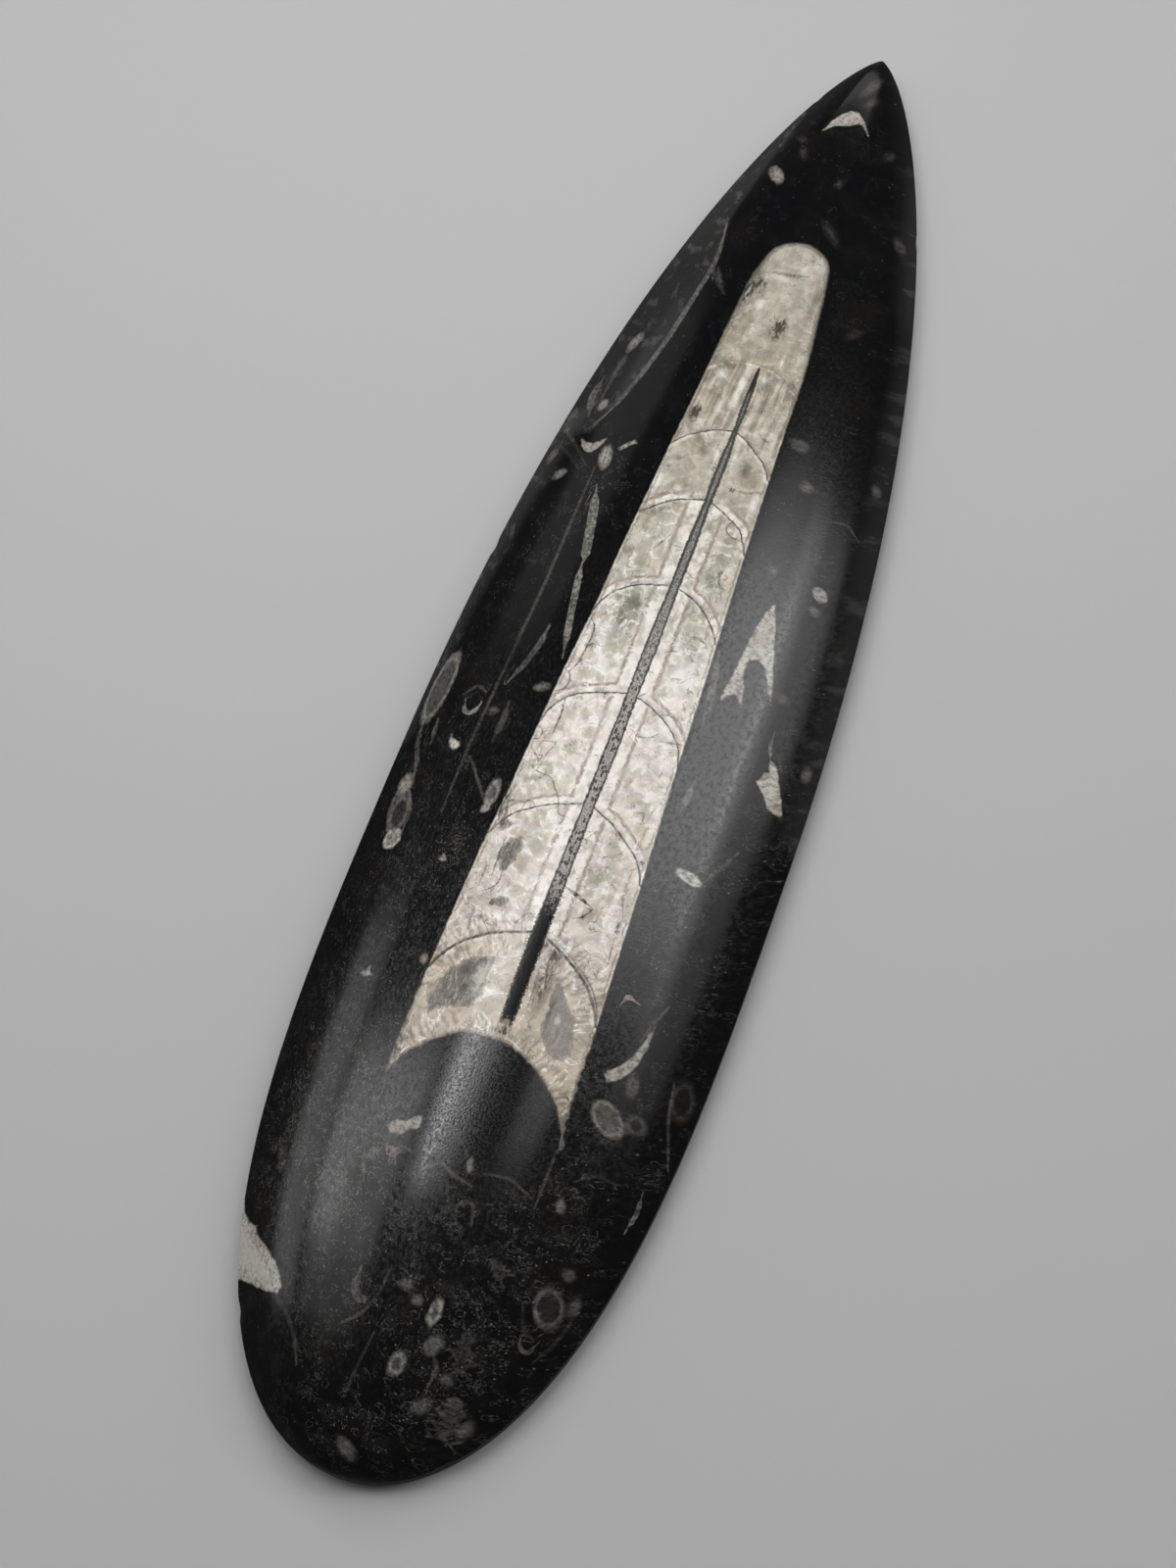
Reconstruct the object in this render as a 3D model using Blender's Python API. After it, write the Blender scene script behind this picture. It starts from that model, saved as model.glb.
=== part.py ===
"""Orthoceras fossil: a slab of polished black limestone, cut to a pointed leaf.

Its top is domed, its rim is a low upright band, and its base is flat. The white straight
shell lies flush in the dome, so the whole thing is one solid. Metres, +Z up: the point
of the leaf looks along +Y, and the origin is the middle of the base.
"""
import math

import bmesh
import bpy

# Driving dimensions
LENGTH = 0.150
WIDTH = 0.0368
THICKNESS = 0.010
RIM_HEIGHT = 0.0022
BASE_BEVEL = 0.0004

# The plan: where the leaf is widest, as a share of its length from the point, and how
# its sides curve in towards the point and round the blunt end
WIDEST_SHARE = 0.595
POINT_FULLNESS = 2.08
POINT_BLUNTNESS = 0.72
END_FULLNESS = 3.4
END_BLUNTNESS = 0.49

# The dome: how flat its crown is, and how its height follows the width of the slab
CROWN_FLATNESS = 2.5
HEIGHT_FOLLOWS_WIDTH = 0.9

# Fineness of the loft
STATIONS = 96
DOME_STEPS = 24

LIMESTONE_COLOUR = (0.008, 0.008, 0.009, 1.0)
LIMESTONE_ROUGHNESS = 0.3


def clear_scene():
    for old in list(bpy.data.objects):
        bpy.data.objects.remove(old, do_unlink=True)


def half_width(share):
    """Half the slab's width at a share of its length, from 0 at the point to 1."""
    if share < WIDEST_SHARE:
        towards_point = 1 - share / WIDEST_SHARE
        fraction = (1 - towards_point ** POINT_FULLNESS) ** POINT_BLUNTNESS
    else:
        towards_end = (share - WIDEST_SHARE) / (1 - WIDEST_SHARE)
        fraction = (1 - towards_end ** END_FULLNESS) ** END_BLUNTNESS
    return fraction * WIDTH / 2


def dome_height(across, half):
    """Height of the top, from -1 to 1 across a section of the given half width."""
    rise = (THICKNESS - RIM_HEIGHT) * (2 * half / WIDTH) ** HEIGHT_FOLLOWS_WIDTH
    return RIM_HEIGHT + rise * (1 - abs(across) ** CROWN_FLATNESS)


def section(share):
    """One cross-section: bevelled base, upright rim, then the dome from right to left."""
    half = half_width(share)
    y = LENGTH * (0.5 - share)
    bevel = min(BASE_BEVEL, half / 2)
    points = [(bevel - half, y, 0), (half - bevel, y, 0), (half, y, bevel)]
    for step in range(DOME_STEPS + 1):
        across = math.cos(math.pi * step / DOME_STEPS)
        points.append((across * half, y, dome_height(across, half)))
    points.append((-half, y, bevel))
    return points


def stations():
    """Shares of the length, close together at both ends, where the plan turns fast."""
    rows = [(1 - math.cos(math.pi * row / STATIONS)) / 2 for row in range(1, STATIONS)]
    return rows


def loft_slab():
    """Skins the sections in order, with the base as one flat face and both ends capped."""
    shape = bmesh.new()
    rings = [[shape.verts.new(point) for point in section(share)] for share in stations()]
    corners = len(rings[0])
    for ring, following in zip(rings, rings[1:]):
        for corner in range(1, corners):
            after = (corner + 1) % corners
            shape.faces.new((ring[corner], ring[after], following[after], following[corner]))
    shape.faces.new([ring[0] for ring in rings] + [ring[1] for ring in reversed(rings)])
    shape.faces.new(rings[0])
    shape.faces.new(rings[-1])
    bmesh.ops.recalc_face_normals(shape, faces=shape.faces)
    mesh = bpy.data.meshes.new("fossil_slab")
    shape.to_mesh(mesh)
    shape.free()
    mesh.shade_smooth()
    mesh.set_sharp_from_angle(angle=math.radians(30))
    return mesh


def limestone():
    material = bpy.data.materials.new("polished black limestone")
    material.use_nodes = True
    shader = material.node_tree.nodes["Principled BSDF"]
    shader.inputs["Base Color"].default_value = LIMESTONE_COLOUR
    shader.inputs["Roughness"].default_value = LIMESTONE_ROUGHNESS
    shader.inputs["Metallic"].default_value = 0.0
    return material


def build():
    clear_scene()
    collection = bpy.data.collections.new("orthoceras fossil")
    bpy.context.scene.collection.children.link(collection)
    slab = bpy.data.objects.new("fossil_slab", loft_slab())
    slab.data.materials.append(limestone())
    collection.objects.link(slab)


build()
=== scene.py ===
"""The looks of the orthoceras fossil: one polished stone, on a pale floor.

The stone's fine mesh stands for the CAD solid and follows the same outline and dome. Its
markings are drawn in millimetres, seen from above with the point of the leaf up: +X
right, +Y towards the point. Each marking reaches the material as a distance stored on the
mesh, which the material roughens with noise and turns into calcite, veins and shell scraps.
"""
import math

import bmesh
import bpy
import numpy as np
from mathutils import Matrix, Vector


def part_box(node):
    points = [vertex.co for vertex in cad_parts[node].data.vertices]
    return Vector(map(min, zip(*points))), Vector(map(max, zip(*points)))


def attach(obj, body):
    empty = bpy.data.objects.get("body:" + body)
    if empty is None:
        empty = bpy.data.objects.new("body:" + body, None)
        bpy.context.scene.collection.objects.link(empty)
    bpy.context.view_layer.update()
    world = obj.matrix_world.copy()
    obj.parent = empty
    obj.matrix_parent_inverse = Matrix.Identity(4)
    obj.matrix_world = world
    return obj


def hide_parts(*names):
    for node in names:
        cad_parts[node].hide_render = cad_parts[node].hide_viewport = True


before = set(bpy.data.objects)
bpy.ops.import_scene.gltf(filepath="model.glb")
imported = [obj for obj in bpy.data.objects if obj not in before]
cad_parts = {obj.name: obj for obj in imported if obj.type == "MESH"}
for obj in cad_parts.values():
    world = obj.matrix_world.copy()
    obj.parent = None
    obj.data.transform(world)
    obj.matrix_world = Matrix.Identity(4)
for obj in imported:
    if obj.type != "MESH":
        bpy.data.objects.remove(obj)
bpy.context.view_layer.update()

MM = 0.001
NODE = "fossil_slab"

# ---------------------------------------------------------------------------
# The stone's form, as in the CAD: a pointed leaf with a dome, a rim and a flat base
# ---------------------------------------------------------------------------
low_corner, high_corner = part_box(NODE)
LENGTH = (high_corner[1] - low_corner[1]) / MM
WIDTH = (high_corner[0] - low_corner[0]) / MM
THICKNESS = (high_corner[2] - low_corner[2]) / MM
RIM_HEIGHT = 2.2
BASE_BEVEL = 0.4
WIDEST_SHARE = 0.595
POINT_FULLNESS = 2.08
POINT_BLUNTNESS = 0.72
END_FULLNESS = 3.4
END_BLUNTNESS = 0.49
CROWN_FLATNESS = 2.5
HEIGHT_FOLLOWS_WIDTH = 0.9

ROWS = 436
COLUMNS = 166
END_SPLITS = 12
RIM_SPLITS = 4
RIM_STEPS = 5
BEVEL_STEPS = 3
BASE_COLUMNS = 10

# How far each part is polished, from the sawn base to the dome
BEVEL_POLISH = 0.25
RIM_POLISH = 0.6

# Small chips knocked out of the rim: place on the outline, radius and depth. Each pushes the
# rim inward, less along the slab than across, and a little down.
CHIP_ALONG = 0.3
CHIP_DOWN = 0.4
CHIP_HOLLOW = 0.8
RIM_CHIPS = [
    (7.6, -70.9, 1.5, 0.28), (-12.3, -65.6, 0.9, 0.16), (17.9, -24, 0.8, 0.12), (-17.5, 8, 1, 0.14),
    (9.8, 54.5, 0.8, 0.12), (-4.6, 68, 0.7, 0.12),
]


def half_width(share):
    """Half the slab's width at a share of its length, from 0 at the point to 1."""
    towards_point = 1 - np.minimum(share, WIDEST_SHARE) / WIDEST_SHARE
    towards_end = np.clip((share - WIDEST_SHARE) / (1 - WIDEST_SHARE), 0, 1)
    point_side = (1 - towards_point ** POINT_FULLNESS) ** POINT_BLUNTNESS
    end_side = (1 - towards_end ** END_FULLNESS) ** END_BLUNTNESS
    return np.where(share < WIDEST_SHARE, point_side, end_side) * WIDTH / 2


def dome_height(across, half):
    """Height of the top, from -1 to 1 across a section of the given half width."""
    rise = (THICKNESS - RIM_HEIGHT) * (2 * half / WIDTH) ** HEIGHT_FOLLOWS_WIDTH
    return RIM_HEIGHT + rise * (1 - np.abs(across) ** CROWN_FLATNESS)


def even_with_fine_ends(steps, splits):
    """Even steps from 0 to 1, with the first and last split finer towards the end."""
    even = np.arange(1, steps) / steps
    fine = (np.arange(splits) / splits) ** 2 / steps
    return np.concatenate([fine, even, 1 - fine[::-1]])


def section_template():
    """Each ring point's kind and place: its share across, its height and its finish.

    The ring runs along the base, up the right side, over the dome and down the left.
    """
    base = [("base", across, 0.0) for across in np.linspace(-1, 1, BASE_COLUMNS + 1)]
    turn = np.linspace(0, 1, BEVEL_STEPS + 1)[1:]
    upright = np.linspace(0, 1, RIM_STEPS + 1)[1:-1]
    right = [("bevel", 1.0, part) for part in turn] + [("rim", 1.0, part) for part in upright]
    dome = [("dome", 1 - 2 * across, 0.0) for across in even_with_fine_ends(COLUMNS, RIM_SPLITS)]
    left = [(kind, -1.0, part) for kind, _, part in reversed(right)]
    return base + right + dome + left


def stone_points():
    """The slab's vertices as rows of rings, and how far each is polished."""
    share = even_with_fine_ends(ROWS, END_SPLITS)
    half = half_width(share)
    y = LENGTH * (0.5 - share)
    bevel = np.minimum(BASE_BEVEL, half / 2)
    rings = []
    polish = []
    for kind, across, part in section_template():
        if kind == "base":
            x, z, shine = across * (half - bevel), 0 * half, 0.0
        elif kind == "bevel":
            angle = part * math.pi / 2
            x = across * (half - bevel + bevel * math.sin(angle))
            z, shine = bevel * (1 - math.cos(angle)), BEVEL_POLISH
        elif kind == "rim":
            x, z, shine = across * half, bevel + (RIM_HEIGHT - bevel) * part, RIM_POLISH
        else:
            x, z, shine = across * half, dome_height(across, half), 1.0
        rings.append(np.stack([x, y, z], axis=-1))
        polish.append(np.full(len(y), shine))
    return np.stack(rings, axis=1), np.stack(polish, axis=1)


def knock_chips(points):
    """Pushes the rim in and down at each chip."""
    for x, y, radius, depth in RIM_CHIPS:
        away = points - np.array([x, y, RIM_HEIGHT])
        closeness = np.clip(1 - np.linalg.norm(away, axis=-1) / radius, 0, 1)
        outward = np.array([x, y * CHIP_ALONG, 0]) / math.hypot(x, y * CHIP_ALONG)
        push = -outward - np.array([0, 0, CHIP_DOWN])
        raised = points[..., 2:3] > BASE_BEVEL
        points += raised * (closeness ** CHIP_HOLLOW * depth)[..., None] * push
    return points


# ---------------------------------------------------------------------------
# Distances in millimetres from the drawn markings
# ---------------------------------------------------------------------------
FAR = 2.0
NEAR_LIMIT = 3.0
SEPTUM_REACH = 2.5
LINE_REACH = 1.2
OVAL_REACH = 0.8
# A fine line's ends narrow to this share of its width, over the first and last sixth
TAPER_SHARE = 0.25
TAPER_PARTS = 6


def smooth_line(points, steps=6):
    """A Catmull-Rom curve through the points."""
    nodes = np.array(points, dtype=float)
    padded = np.vstack([2 * nodes[0] - nodes[1], nodes, 2 * nodes[-1] - nodes[-2]])
    t = np.linspace(0, 1, steps, endpoint=False)[:, None]
    spans = []
    for a, b, c, d in zip(padded, padded[1:], padded[2:], padded[3:]):
        curve = 2 * b + (c - a) * t + (2 * a - 5 * b + 4 * c - d) * t ** 2
        spans.append((curve + (3 * b - a - 3 * c + d) * t ** 3) / 2)
    return np.vstack(spans + [nodes[-1:]])


def near(x, y, points, margin):
    """Which vertices lie in the box round the points, widened by a margin."""
    lowest = points.min(axis=0) - margin
    highest = points.max(axis=0) + margin
    return (x > lowest[0]) & (x < highest[0]) & (y > lowest[1]) & (y < highest[1])


def segment_distances(x, y, start, end):
    """Distance to a segment, signed offset from its line, and share along it."""
    dx, dy = end - start
    length_squared = dx * dx + dy * dy + 1e-12
    along = ((x - start[0]) * dx + (y - start[1]) * dy) / length_squared
    offset = ((x - start[0]) * dy - (y - start[1]) * dx) / math.sqrt(length_squared)
    held = np.clip(along, 0, 1)
    distance = np.hypot(x - start[0] - held * dx, y - start[1] - held * dy)
    return distance, offset, held


def inside_distance(x, y, outline):
    """Distance to a closed outline, positive inside it."""
    outline = np.array(outline, dtype=float)
    nearest = np.full(x.shape, 1e3)
    inside = np.zeros(x.shape, dtype=bool)
    for start, end in zip(outline, np.roll(outline, -1, axis=0)):
        distance, _, _ = segment_distances(x, y, start, end)
        nearest = np.minimum(nearest, distance)
        crosses = (start[1] > y) != (end[1] > y)
        rise = end[1] - start[1]
        if rise != 0:
            inside ^= crosses & (x < start[0] + (y - start[1]) * (end[0] - start[0]) / rise)
    return np.where(inside, nearest, -nearest)


def oval_distance(x, y, centre_x, centre_y, length, width, angle):
    """About the distance to an oval's edge, positive inside. The angle is its long axis."""
    cosine = math.cos(math.radians(angle))
    sine = math.sin(math.radians(angle))
    along = ((x - centre_x) * cosine + (y - centre_y) * sine) / (length / 2)
    aside = ((y - centre_y) * cosine - (x - centre_x) * sine) / (width / 2)
    return (1 - np.hypot(along, aside)) * min(length, width) / 2


# ---------------------------------------------------------------------------
# The markings
# ---------------------------------------------------------------------------
# The fuller dome that the drawing lies on, and the point that it is seen from
DRAWING_THICKNESS = 12.0
DRAWING_FLATNESS = 2.2
DRAWING_STEEPNESS = 0.6
VIEWPOINT = (25.4, -85.5, 190.5)

# The shell's two sides: down the left from the small end, and back up the right
SHELL_LEFT = [
    (0.6, 45.7), (-0.7, 45.4), (-1.9, 44.6), (-2.5, 43.6), (-2.9, 42), (-3.3, 40), (-3.5, 36),
    (-3.7, 32), (-3.95, 26), (-4.35, 19), (-4.6, 13.5), (-4.9, 7.5), (-5.1, 1), (-5.5, -5),
    (-5.8, -11), (-6.05, -17), (-6.4, -23), (-6.6, -28), (-6.8, -35), (-7, -41), (-7, -43.4),
    (-6.8, -45.2),
]
SHELL_RIGHT = [
    (8.6, -46), (8.5, -44), (8.3, -40), (8, -34), (7.7, -28), (7.4, -22), (7, -15), (6.75, -10),
    (6.5, -4), (6.2, 2), (5.8, 9.5), (5.45, 17), (5.15, 23.5), (4.9, 30), (4.55, 34), (4.2, 37),
    (3.8, 40.5), (3.5, 42.5), (3.25, 43.8), (2.7, 44.7), (1.7, 45.4),
]

# The walls between the shell's chambers, from its small end down, each from left to right
SEPTA = [
    [(-3.9, 28.6), (-2.5, 29.6), (-0.9, 30.1), (0.8, 30.2), (2, 30.1), (3.2, 29.6), (4.9, 28.3)],
    [(-4.4, 19.1), (-3.8, 19.9), (-3.05, 20.6), (-1.6, 21.5), (-0.6, 21.95), (0.9, 22.25),
     (2.2, 21.65), (3.1, 20.95), (4.1, 20.2), (4.85, 19.3), (5.3, 18.4)],
    [(-4.7, 11.3), (-3.7, 12.1), (-2.9, 12.8), (-2, 13.4), (-1.2, 13.75), (-0.2, 14.1),
     (0.95, 14.3), (2.3, 13.8), (3.2, 13.3), (4, 12.9), (4.7, 12.3), (5.2, 11.4), (5.7, 10.3)],
    [(-5.1, 0.3), (-4.9, 1.2), (-4.5, 2), (-3.9, 2.8), (-3, 3.5), (-1.9, 4.1), (-0.3, 4.6),
     (0.95, 4.9), (2.4, 4.45), (3.3, 4.05), (4.2, 3.4), (5, 2.6), (5.6, 1.9), (6.2, 0.8)],
    [(-5.85, -11.6), (-5.5, -10.2), (-5, -9.2), (-4.2, -8.35), (-3.5, -7.85), (-2.4, -7.4),
     (-1.2, -7), (-0.3, -6.7), (0.95, -6.45), (2.6, -6.9), (3.8, -7.45), (4.6, -7.95), (5.4, -8.6),
     (6.1, -9.4), (6.55, -10.3), (6.9, -11.6)],
    [(-6.3, -22.5), (-5.9, -21.6), (-5.4, -20.8), (-4.8, -20.1), (-4.1, -19.6), (-2.9, -18.85),
     (-2, -18.4), (-0.8, -18), (0.95, -17.4), (2.4, -18), (3.3, -18.35), (4.1, -18.9), (5.1, -19.6),
     (6.1, -20.4), (6.8, -21.3), (7.4, -22.7)],
    [(-6.8, -35.3), (-6.5, -34.5), (-6, -33.7), (-5.4, -32.9), (-4.6, -32.1), (-3.7, -31.5),
     (-2.9, -31), (-1.8, -30.5), (-0.6, -30.1), (0.95, -29.65), (2.2, -30.1), (3.2, -30.6),
     (4, -31), (5, -31.65), (5.9, -32.3), (6.6, -33), (7.1, -33.7), (7.6, -34.5), (8, -35.4)],
    [(-6.8, -45.2), (-6.4, -44), (-6, -43.1), (-5.5, -42.5), (-4.7, -41.7), (-3.9, -41),
     (-2.6, -40.1), (-1.6, -39.65), (0.95, -39.45), (1.8, -39.5), (2.6, -39.8), (3.6, -40.15),
     (4.5, -40.7), (5.5, -41.4), (6.4, -42.1), (7.2, -42.9), (7.8, -43.8), (8.2, -44.6),
     (8.6, -46)],
]

# The tube through the chambers: height, its middle, and half its width with its walls
TUBE = [
    (-38, 1.05, 0.56), (-36, 1.02, 0.62), (-31, 0.95, 0.68), (-25, 0.95, 0.6), (-17.6, 0.95, 0.52),
    (-12, 0.98, 0.58), (-6.4, 0.97, 0.52), (-1, 0.97, 0.58), (4.8, 0.95, 0.44), (9, 0.95, 0.5),
    (14.2, 0.92, 0.34), (16.5, 0.9, 0.42), (20, 0.88, 0.38), (22.5, 0.86, 0.22), (24.5, 0.83, 0.32),
    (27, 0.8, 0.28), (29.8, 0.75, 0.12),
]

# Dark quartz at the heart of the last chambers
QUARTZ = [
    [(-1.8, -32.7), (-2.4, -33), (-3.1, -33.3), (-4, -33.7), (-4.5, -34.5), (-5.2, -35.2),
     (-5.2, -36), (-5.5, -36.9), (-6, -37.6), (-5.7, -38.3), (-5.3, -39), (-4.7, -38.4),
     (-3, -37.7), (-2.1, -37.4), (-1.8, -36)],
    [(3.7, -32.9), (4.3, -33.3), (4.8, -34), (5.3, -34.8), (6.1, -35.4), (6.4, -36.4), (6.7, -37.3),
     (6.75, -38.3), (6.4, -39.2), (5.7, -39.2), (5, -38.8), (4.3, -38.1), (3.9, -37.2),
     (3.9, -35.5)],
    [(-3.6, -22), (-3.1, -22.9), (-3.3, -24), (-3.6, -25.1), (-3.95, -25.7), (-4.3, -25),
     (-4.8, -24.2), (-4.6, -23), (-4.1, -22.3)],
    [(-4, -28.6), (-3.7, -28), (-3.2, -27.7), (-2.5, -27.8), (-2.5, -28.5), (-3.2, -28.4)],
]

# Dark stains in the shell: middle, size across and along, and strength
STAINS = [
    (1.6, -30.35, 0.9, 0.6, 1.1), (-3.1, 38.8, 1.5, 6.5, 0.75), (1.05, 34.9, 1.1, 2.2, 1.3),
    (0.95, 34.6, 1.7, 3.6, 0.3), (-2.1, 39.3, 1.4, 1.8, 0.75), (-0.9, 30.1, 0.6, 0.5, 0.7),
    (1.7, 30.4, 1.4, 0.6, 0.5), (-3.25, 23.1, 0.8, 1.7, 1.9), (2.6, 25.3, 0.5, 0.6, 0.9),
    (1.4, 25.4, 0.4, 0.4, 0.6), (4.85, 23.5, 0.6, 1.6, 0.4), (3, 18.7, 1.2, 1.6, 0.35),
    (2.6, 16.3, 0.6, 0.45, 1.3), (0.65, 17.4, 0.35, 0.6, 1), (-3.7, 16.8, 0.8, 0.7, 0.5),
    (-1.9, 12.9, 0.5, 0.8, 0.5), (4.4, 7.6, 0.5, 0.9, 0.7), (-3.1, -5.4, 0.7, 1, 0.3),
    (-1.2, -7, 0.5, 0.4, 1), (-1.1, -12.8, 0.35, 0.5, 1), (3, -9.9, 1.2, 0.5, 0.4),
    (2.8, -14.4, 1, 0.35, 0.4), (4.5, -16.2, 0.6, 0.5, 0.5), (6.9, -20.7, 0.7, 0.7, 0.9),
    (-5.2, -21.2, 0.9, 1, 0.6), (-4.4, -26.4, 1, 1.2, 0.3), (6.9, -26.8, 0.6, 1.4, 0.8),
    (2.9, -30.9, 1, 0.8, 0.9), (2.7, -33.4, 2, 5.6, 0.62), (3.9, -27, 0.6, 0.5, 0.9),
    (-3.8, -28.4, 0.5, 0.8, 0.8), (1.2, -38.4, 0.9, 1.5, 0.9), (0.1, -38.8, 1.7, 0.9, 0.6),
    (-6.6, -42.5, 1.2, 4, 0.7), (8, -43, 0.8, 3.4, 0.5), (-3.7, -34.6, 1.2, 1.2, 0.8),
    (-3.3, -36.2, 0.6, 1.4, 0.9), (-4.9, -36.9, 0.9, 1, 0.5), (4.1, -35.6, 0.4, 2.4, 0.7),
    (7, -40.2, 1.2, 1.8, 0.3), (-5.9, -40.5, 1.2, 2.6, 0.25), (1.9, 12.3, 0.8, 2.2, 0.35),
    (2.1, 1.9, 0.9, 1.2, 0.35), (-5.2, 0.5, 1.6, 5, 0.4), (-5.9, -19.5, 1.5, 5.5, 0.7),
    (-5.7, -10.5, 1, 3, 0.22), (3.4, 0, 1.6, 3, 0.35), (-1, -32, 1.8, 2.6, 0.35),
    (6.2, -16.5, 1, 6, 0.2), (-3, 12.4, 1.4, 1.2, 0.25), (6.2, -30.9, 0.5, 0.7, 0.4),
]

# Clouds in the shell: middle, size across and along, and how grey, or how milky below zero
CLOUDS = [
    # above the first chamber
    (-2.7, 40.5, 1.4, 6, 0.9), (-3, 34, 1, 5, 0.7), (3.3, 39, 0.9, 5, 0.9),
    (0.4, 31.4, 2.2, 2.2, 0.45), (1, 37.4, 2, 2.4, 0.2), (-1, 42.7, 1, 1, -0.45),
    (1.15, 42.9, 1, 1.9, -0.45), (-0.4, 40.8, 1.9, 0.9, -0.5), (-1.6, 37, 1.2, 2.6, -0.6),
    (-1.5, 33.4, 0.8, 2.4, -0.7), (2.9, 36.2, 0.5, 1.4, -0.7), (2.5, 31.4, 0.4, 1.6, -0.8),
    (3.9, 31.6, 0.6, 2.6, -0.9), (2.2, 41, 1.2, 1.6, -0.2), (-3.4, 30, 0.8, 1.6, 0.6),
    # down the chambers
    (-2.4, 28, 1.3, 2, -0.8), (-0.2, 27, 0.8, 5, -0.7), (1.5, 28.4, 0.6, 2.4, -0.8),
    (-1.2, 24.3, 0.8, 1.8, -0.6), (2.2, 22.7, 1.3, 0.8, -1), (-3.5, 27.2, 0.9, 1.4, 0.7),
    (-1.15, 27, 0.3, 4.6, 0.9), (2.5, 26.8, 0.3, 3.6, 0.7), (3.4, 26.6, 0.3, 4, 0.6),
    (4.4, 26, 0.6, 3.6, 0.5), (-1.1, 19.6, 1.1, 2.4, 0.7), (2.9, 18.6, 1.4, 2.6, 0.8),
    (4.4, 17.3, 1.2, 0.8, 0.4), (0.1, 19, 0.5, 4.6, -0.7), (1.7, 19.6, 0.5, 3.6, -0.7),
    (-4.2, 14.6, 0.7, 2.6, -1), (4.9, 15.4, 0.7, 2.6, -0.9), (-2.2, 14.7, 1.3, 0.9, -0.5),
    (3.6, 21.2, 1, 0.6, -0.5), (-3, 12.2, 1.5, 1.6, 0.9), (-2.2, 9.6, 1.5, 2.6, 0.4),
    (-4.2, 7.1, 1, 1.2, 1), (-1.12, 9.8, 0.3, 5.6, -0.8), (1.9, 12.1, 1, 2.6, 1),
    (2.2, 8.6, 0.5, 3.4, -0.7), (4.1, 6.5, 1.8, 2, 1), (3.9, 10, 1.3, 3, 0.5),
    (4.9, 9.4, 0.4, 5, -0.7), (-4.6, 10, 0.6, 4, -0.4), (5, 12.4, 0.6, 0.8, -0.8),
    (-2.2, 0.6, 2.2, 4.6, 0.9), (-1.9, 2, 1.4, 3.6, 1.2), (-2.9, 3, 1, 1.2, 0.5),
    (-3.9, 1.4, 1.1, 2, -0.6), (-2.6, -1.8, 2, 2, 0.4), (-2.2, -4.8, 2.4, 2.2, -0.7),
    (2.1, 1.9, 1.1, 1.6, 1.2), (2.6, -0.8, 1.2, 2, 0.4), (3.2, 2.9, 1.2, 1.2, 0.4),
    (4.6, -3.2, 2.6, 5.4, -1), (4.6, 1.3, 1.2, 1.4, -0.4), (-4.75, -2.4, 0.4, 3.4, -0.9),
    (-2.2, -12.8, 1.5, 2, 0.55), (-3.7, -9.8, 1.1, 2.4, 0.5), (-2.8, -10.8, 0.4, 2.8, -0.9),
    (4.9, -12.9, 1.8, 2, 0.5), (4.5, -9.2, 3.2, 2.6, -0.8), (3.2, -12.6, 0.9, 4.6, -0.5),
    (6.1, -14.4, 0.7, 3, -0.5), (-4.2, -16.6, 2.2, 1.2, 0.7), (-5, -13.6, 1, 1.8, 0.6),
    (-2.2, -15.4, 1.4, 1.4, -0.6), (-0.4, -15.2, 0.7, 1.8, -1), (1.9, -9.4, 0.8, 2.2, 0.5),
    (2, -15.6, 0.6, 2.4, 0.4), (-2.3, -21.5, 1, 1.7, 0.55), (-2.5, -24.5, 1.4, 1.6, 0.4),
    (-4.2, -20.8, 1.6, 1, -0.6), (-5.2, -24.6, 0.7, 3, -0.4), (-1.1, -24, 0.5, 5.6, -0.5),
    (3.9, -23.4, 1.5, 2.8, 0.55), (5.1, -26.8, 1.4, 3.2, 0.5), (3, -20.5, 1.6, 1, -0.9),
    (5.9, -24.4, 0.6, 5.6, -0.6), (2.2, -23.2, 0.6, 3, -0.8), (-2.7, -29.4, 1.8, 0.9, -0.8),
    (-5.2, -28, 1.4, 2, 0.5), (-3, -26.3, 1.4, 1.2, 0.4), (3.5, -28.6, 1.4, 1.8, -0.4),
    (2.8, -33.6, 1.8, 6.4, 0.7), (-0.9, -34.5, 1.5, 7, -0.5), (-2.4, -34.8, 1.2, 3.6, -0.9),
    (4.9, -36.5, 0.6, 1.8, -1), (-4.2, -37.6, 0.8, 0.7, -0.6), (5.8, -33, 1.6, 1.2, -0.4),
    (2.9, -37.5, 2, 0.5, -0.7), (-4.6, -40, 1.6, 1.4, -0.3), (7.2, -38.6, 0.8, 3.6, 0.4),
    (3.4, -39, 1.6, 1, 0.3),
]

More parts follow.
